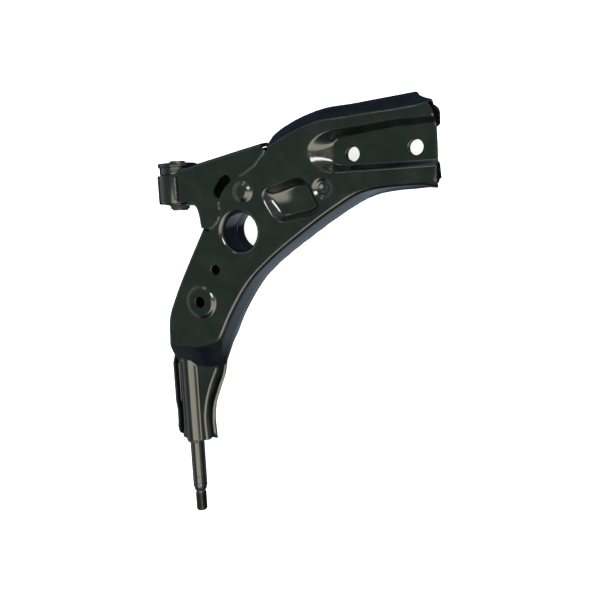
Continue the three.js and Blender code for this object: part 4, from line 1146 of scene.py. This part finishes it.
world = bpy.data.worlds.new("studio")
scene.world = world
world.use_nodes = True
wt = world.node_tree
bg = wt.nodes["Background"]
tc = wt.nodes.new("ShaderNodeTexCoord")
sep = wt.nodes.new("ShaderNodeSeparateXYZ")
wt.links.new(tc.outputs["Generated"], sep.inputs[0])


def wmath(op, a, b=None):
    n = wt.nodes.new("ShaderNodeMath")
    n.operation = op
    for k, v in enumerate((a, b)):
        if v is None:
            continue
        if isinstance(v, (int, float)):
            n.inputs[k].default_value = v
        else:
            wt.links.new(v, n.inputs[k])
    return n.outputs[0]


def wstep(v, a, b):
    """Soft step of a value from a (0) to b (1)."""
    m = wt.nodes.new("ShaderNodeMapRange")
    m.interpolation_type = "SMOOTHSTEP"
    m.inputs["From Min"].default_value = a
    m.inputs["From Max"].default_value = b
    wt.links.new(v, m.inputs["Value"])
    return m.outputs[0]


def wmix(fac, a, b):
    m = wt.nodes.new("ShaderNodeMix")
    m.data_type = "RGBA"
    wt.links.new(fac, m.inputs[0])
    for k, v in ((6, a), (7, b)):
        if isinstance(v, tuple):
            m.inputs[k].default_value = (*v, 1)
        else:
            wt.links.new(v, m.inputs[k])
    return m.outputs[2]


wx, wy, wz = sep.outputs[0], sep.outputs[1], sep.outputs[2]
col = wmix(wstep(wz, 0.25, 0.9), (0.46, 0.52, 0.56), (0.22, 0.33, 0.28))             # dim greenish ceiling, paler walls
left = wmath("MULTIPLY", wstep(wx, -0.6, -0.9), wstep(wz, 0.7, 0.4))
col = wmix(left, col, (0.62, 0.66, 0.66))                                            # pale wall on the left
front = wmath("MULTIPLY", wstep(wy, -0.28, -0.62), wstep(wz, 0.72, 0.45))
front = wmath("MULTIPLY", front, wstep(wx, -0.78, -0.5))
front = wmath("MULTIPLY", front, wstep(wx, 0.46, 0.26))
col = wmix(front, col, (0.03, 0.045, 0.10))                                          # dark side of the room
panel = wmath("MULTIPLY", wstep(wx, -0.24, -0.12), wstep(wx, 0.86, 0.62))
panel = wmath("MULTIPLY", panel, wmath("MULTIPLY", wstep(wy, -0.85, -0.6), wstep(wy, 0.05, -0.08)))
panel = wmath("MULTIPLY", panel, wstep(wz, 0.42, 0.56))
col = wmix(panel, col, (4.6, 4.3, 3.5))                                              # warm ceiling panel, right of the flats' mirror direction
below = wstep(wz, 0.02, -0.06)
col = wmix(below, col, (0.025, 0.035, 0.065))                                        # dark below the bench line
pale = wmath("MULTIPLY", wstep(wz, -0.5, -0.8), wstep(wy, -0.2, -0.42))
col = wmix(pale, col, (0.30, 0.37, 0.44))                                            # paler ground in front
wt.links.new(col, bg.inputs[0])
bg.inputs[1].default_value = 1.0


def area(name, loc, target, size, power, color=(1, 1, 1), size_y=None):
    L = bpy.data.lights.new(name, "AREA")
    L.energy = power
    L.color = color
    L.size = size
    if size_y:
        L.shape = "RECTANGLE"
        L.size_y = size_y
    o = bpy.data.objects.new(name, L)
    o.location = loc
    d = Vector(target) - Vector(loc)
    o.rotation_euler = d.to_track_quat("-Z", "Y").to_euler()
    scene.collection.objects.link(o)
    return o


mid = (0.0, 0.02, 0.02)
area("key_small", (0.53 * 2.2, 0.02 + 0.48 * 2.2, 0.66 * 2.2), mid, 0.78, 36, (1, 0.99, 0.96))
area("soft_back", (-0.6, 2.0, 1.55), mid, 0.6, 3.5, (0.95, 0.98, 1))


# ---------------------------------------------------------------- camera at the photograph's viewing angle
F_PX = 645.0
tau, beta, roll = math.radians(25), math.radians(9), math.radians(-2.5849)
v = Vector((math.sin(tau), math.sin(beta), 0))
v.z = math.sqrt(1 - v.x ** 2 - v.y ** 2)
T = Vector((119.902, -119.069, 0.0))
C = T + 650.0 * v
up0 = (Vector((0, 1, 0)) - v * v.y).normalized()
right0 = up0.cross(v)
right = math.cos(roll) * right0 + math.sin(roll) * up0
up1 = -math.sin(roll) * right0 + math.cos(roll) * up0
cam = bpy.data.cameras.new("photo_view")
cam.lens = F_PX / 600 * 36.0
cam.sensor_width = 36.0
cam.clip_start, cam.clip_end = 0.01, 50
co = bpy.data.objects.new("photo_view", cam)
M = Matrix((right, up1, v)).transposed().to_4x4()
M.translation = (C + Vector((SX, SY, 0))) / 1000.0
co.matrix_world = M
scene.collection.objects.link(co)
scene.camera = co
scene.view_settings.view_transform = "Standard"
scene.view_settings.look = "None"
scene.view_settings.exposure = 0.0

bpy.context.view_layer.update()
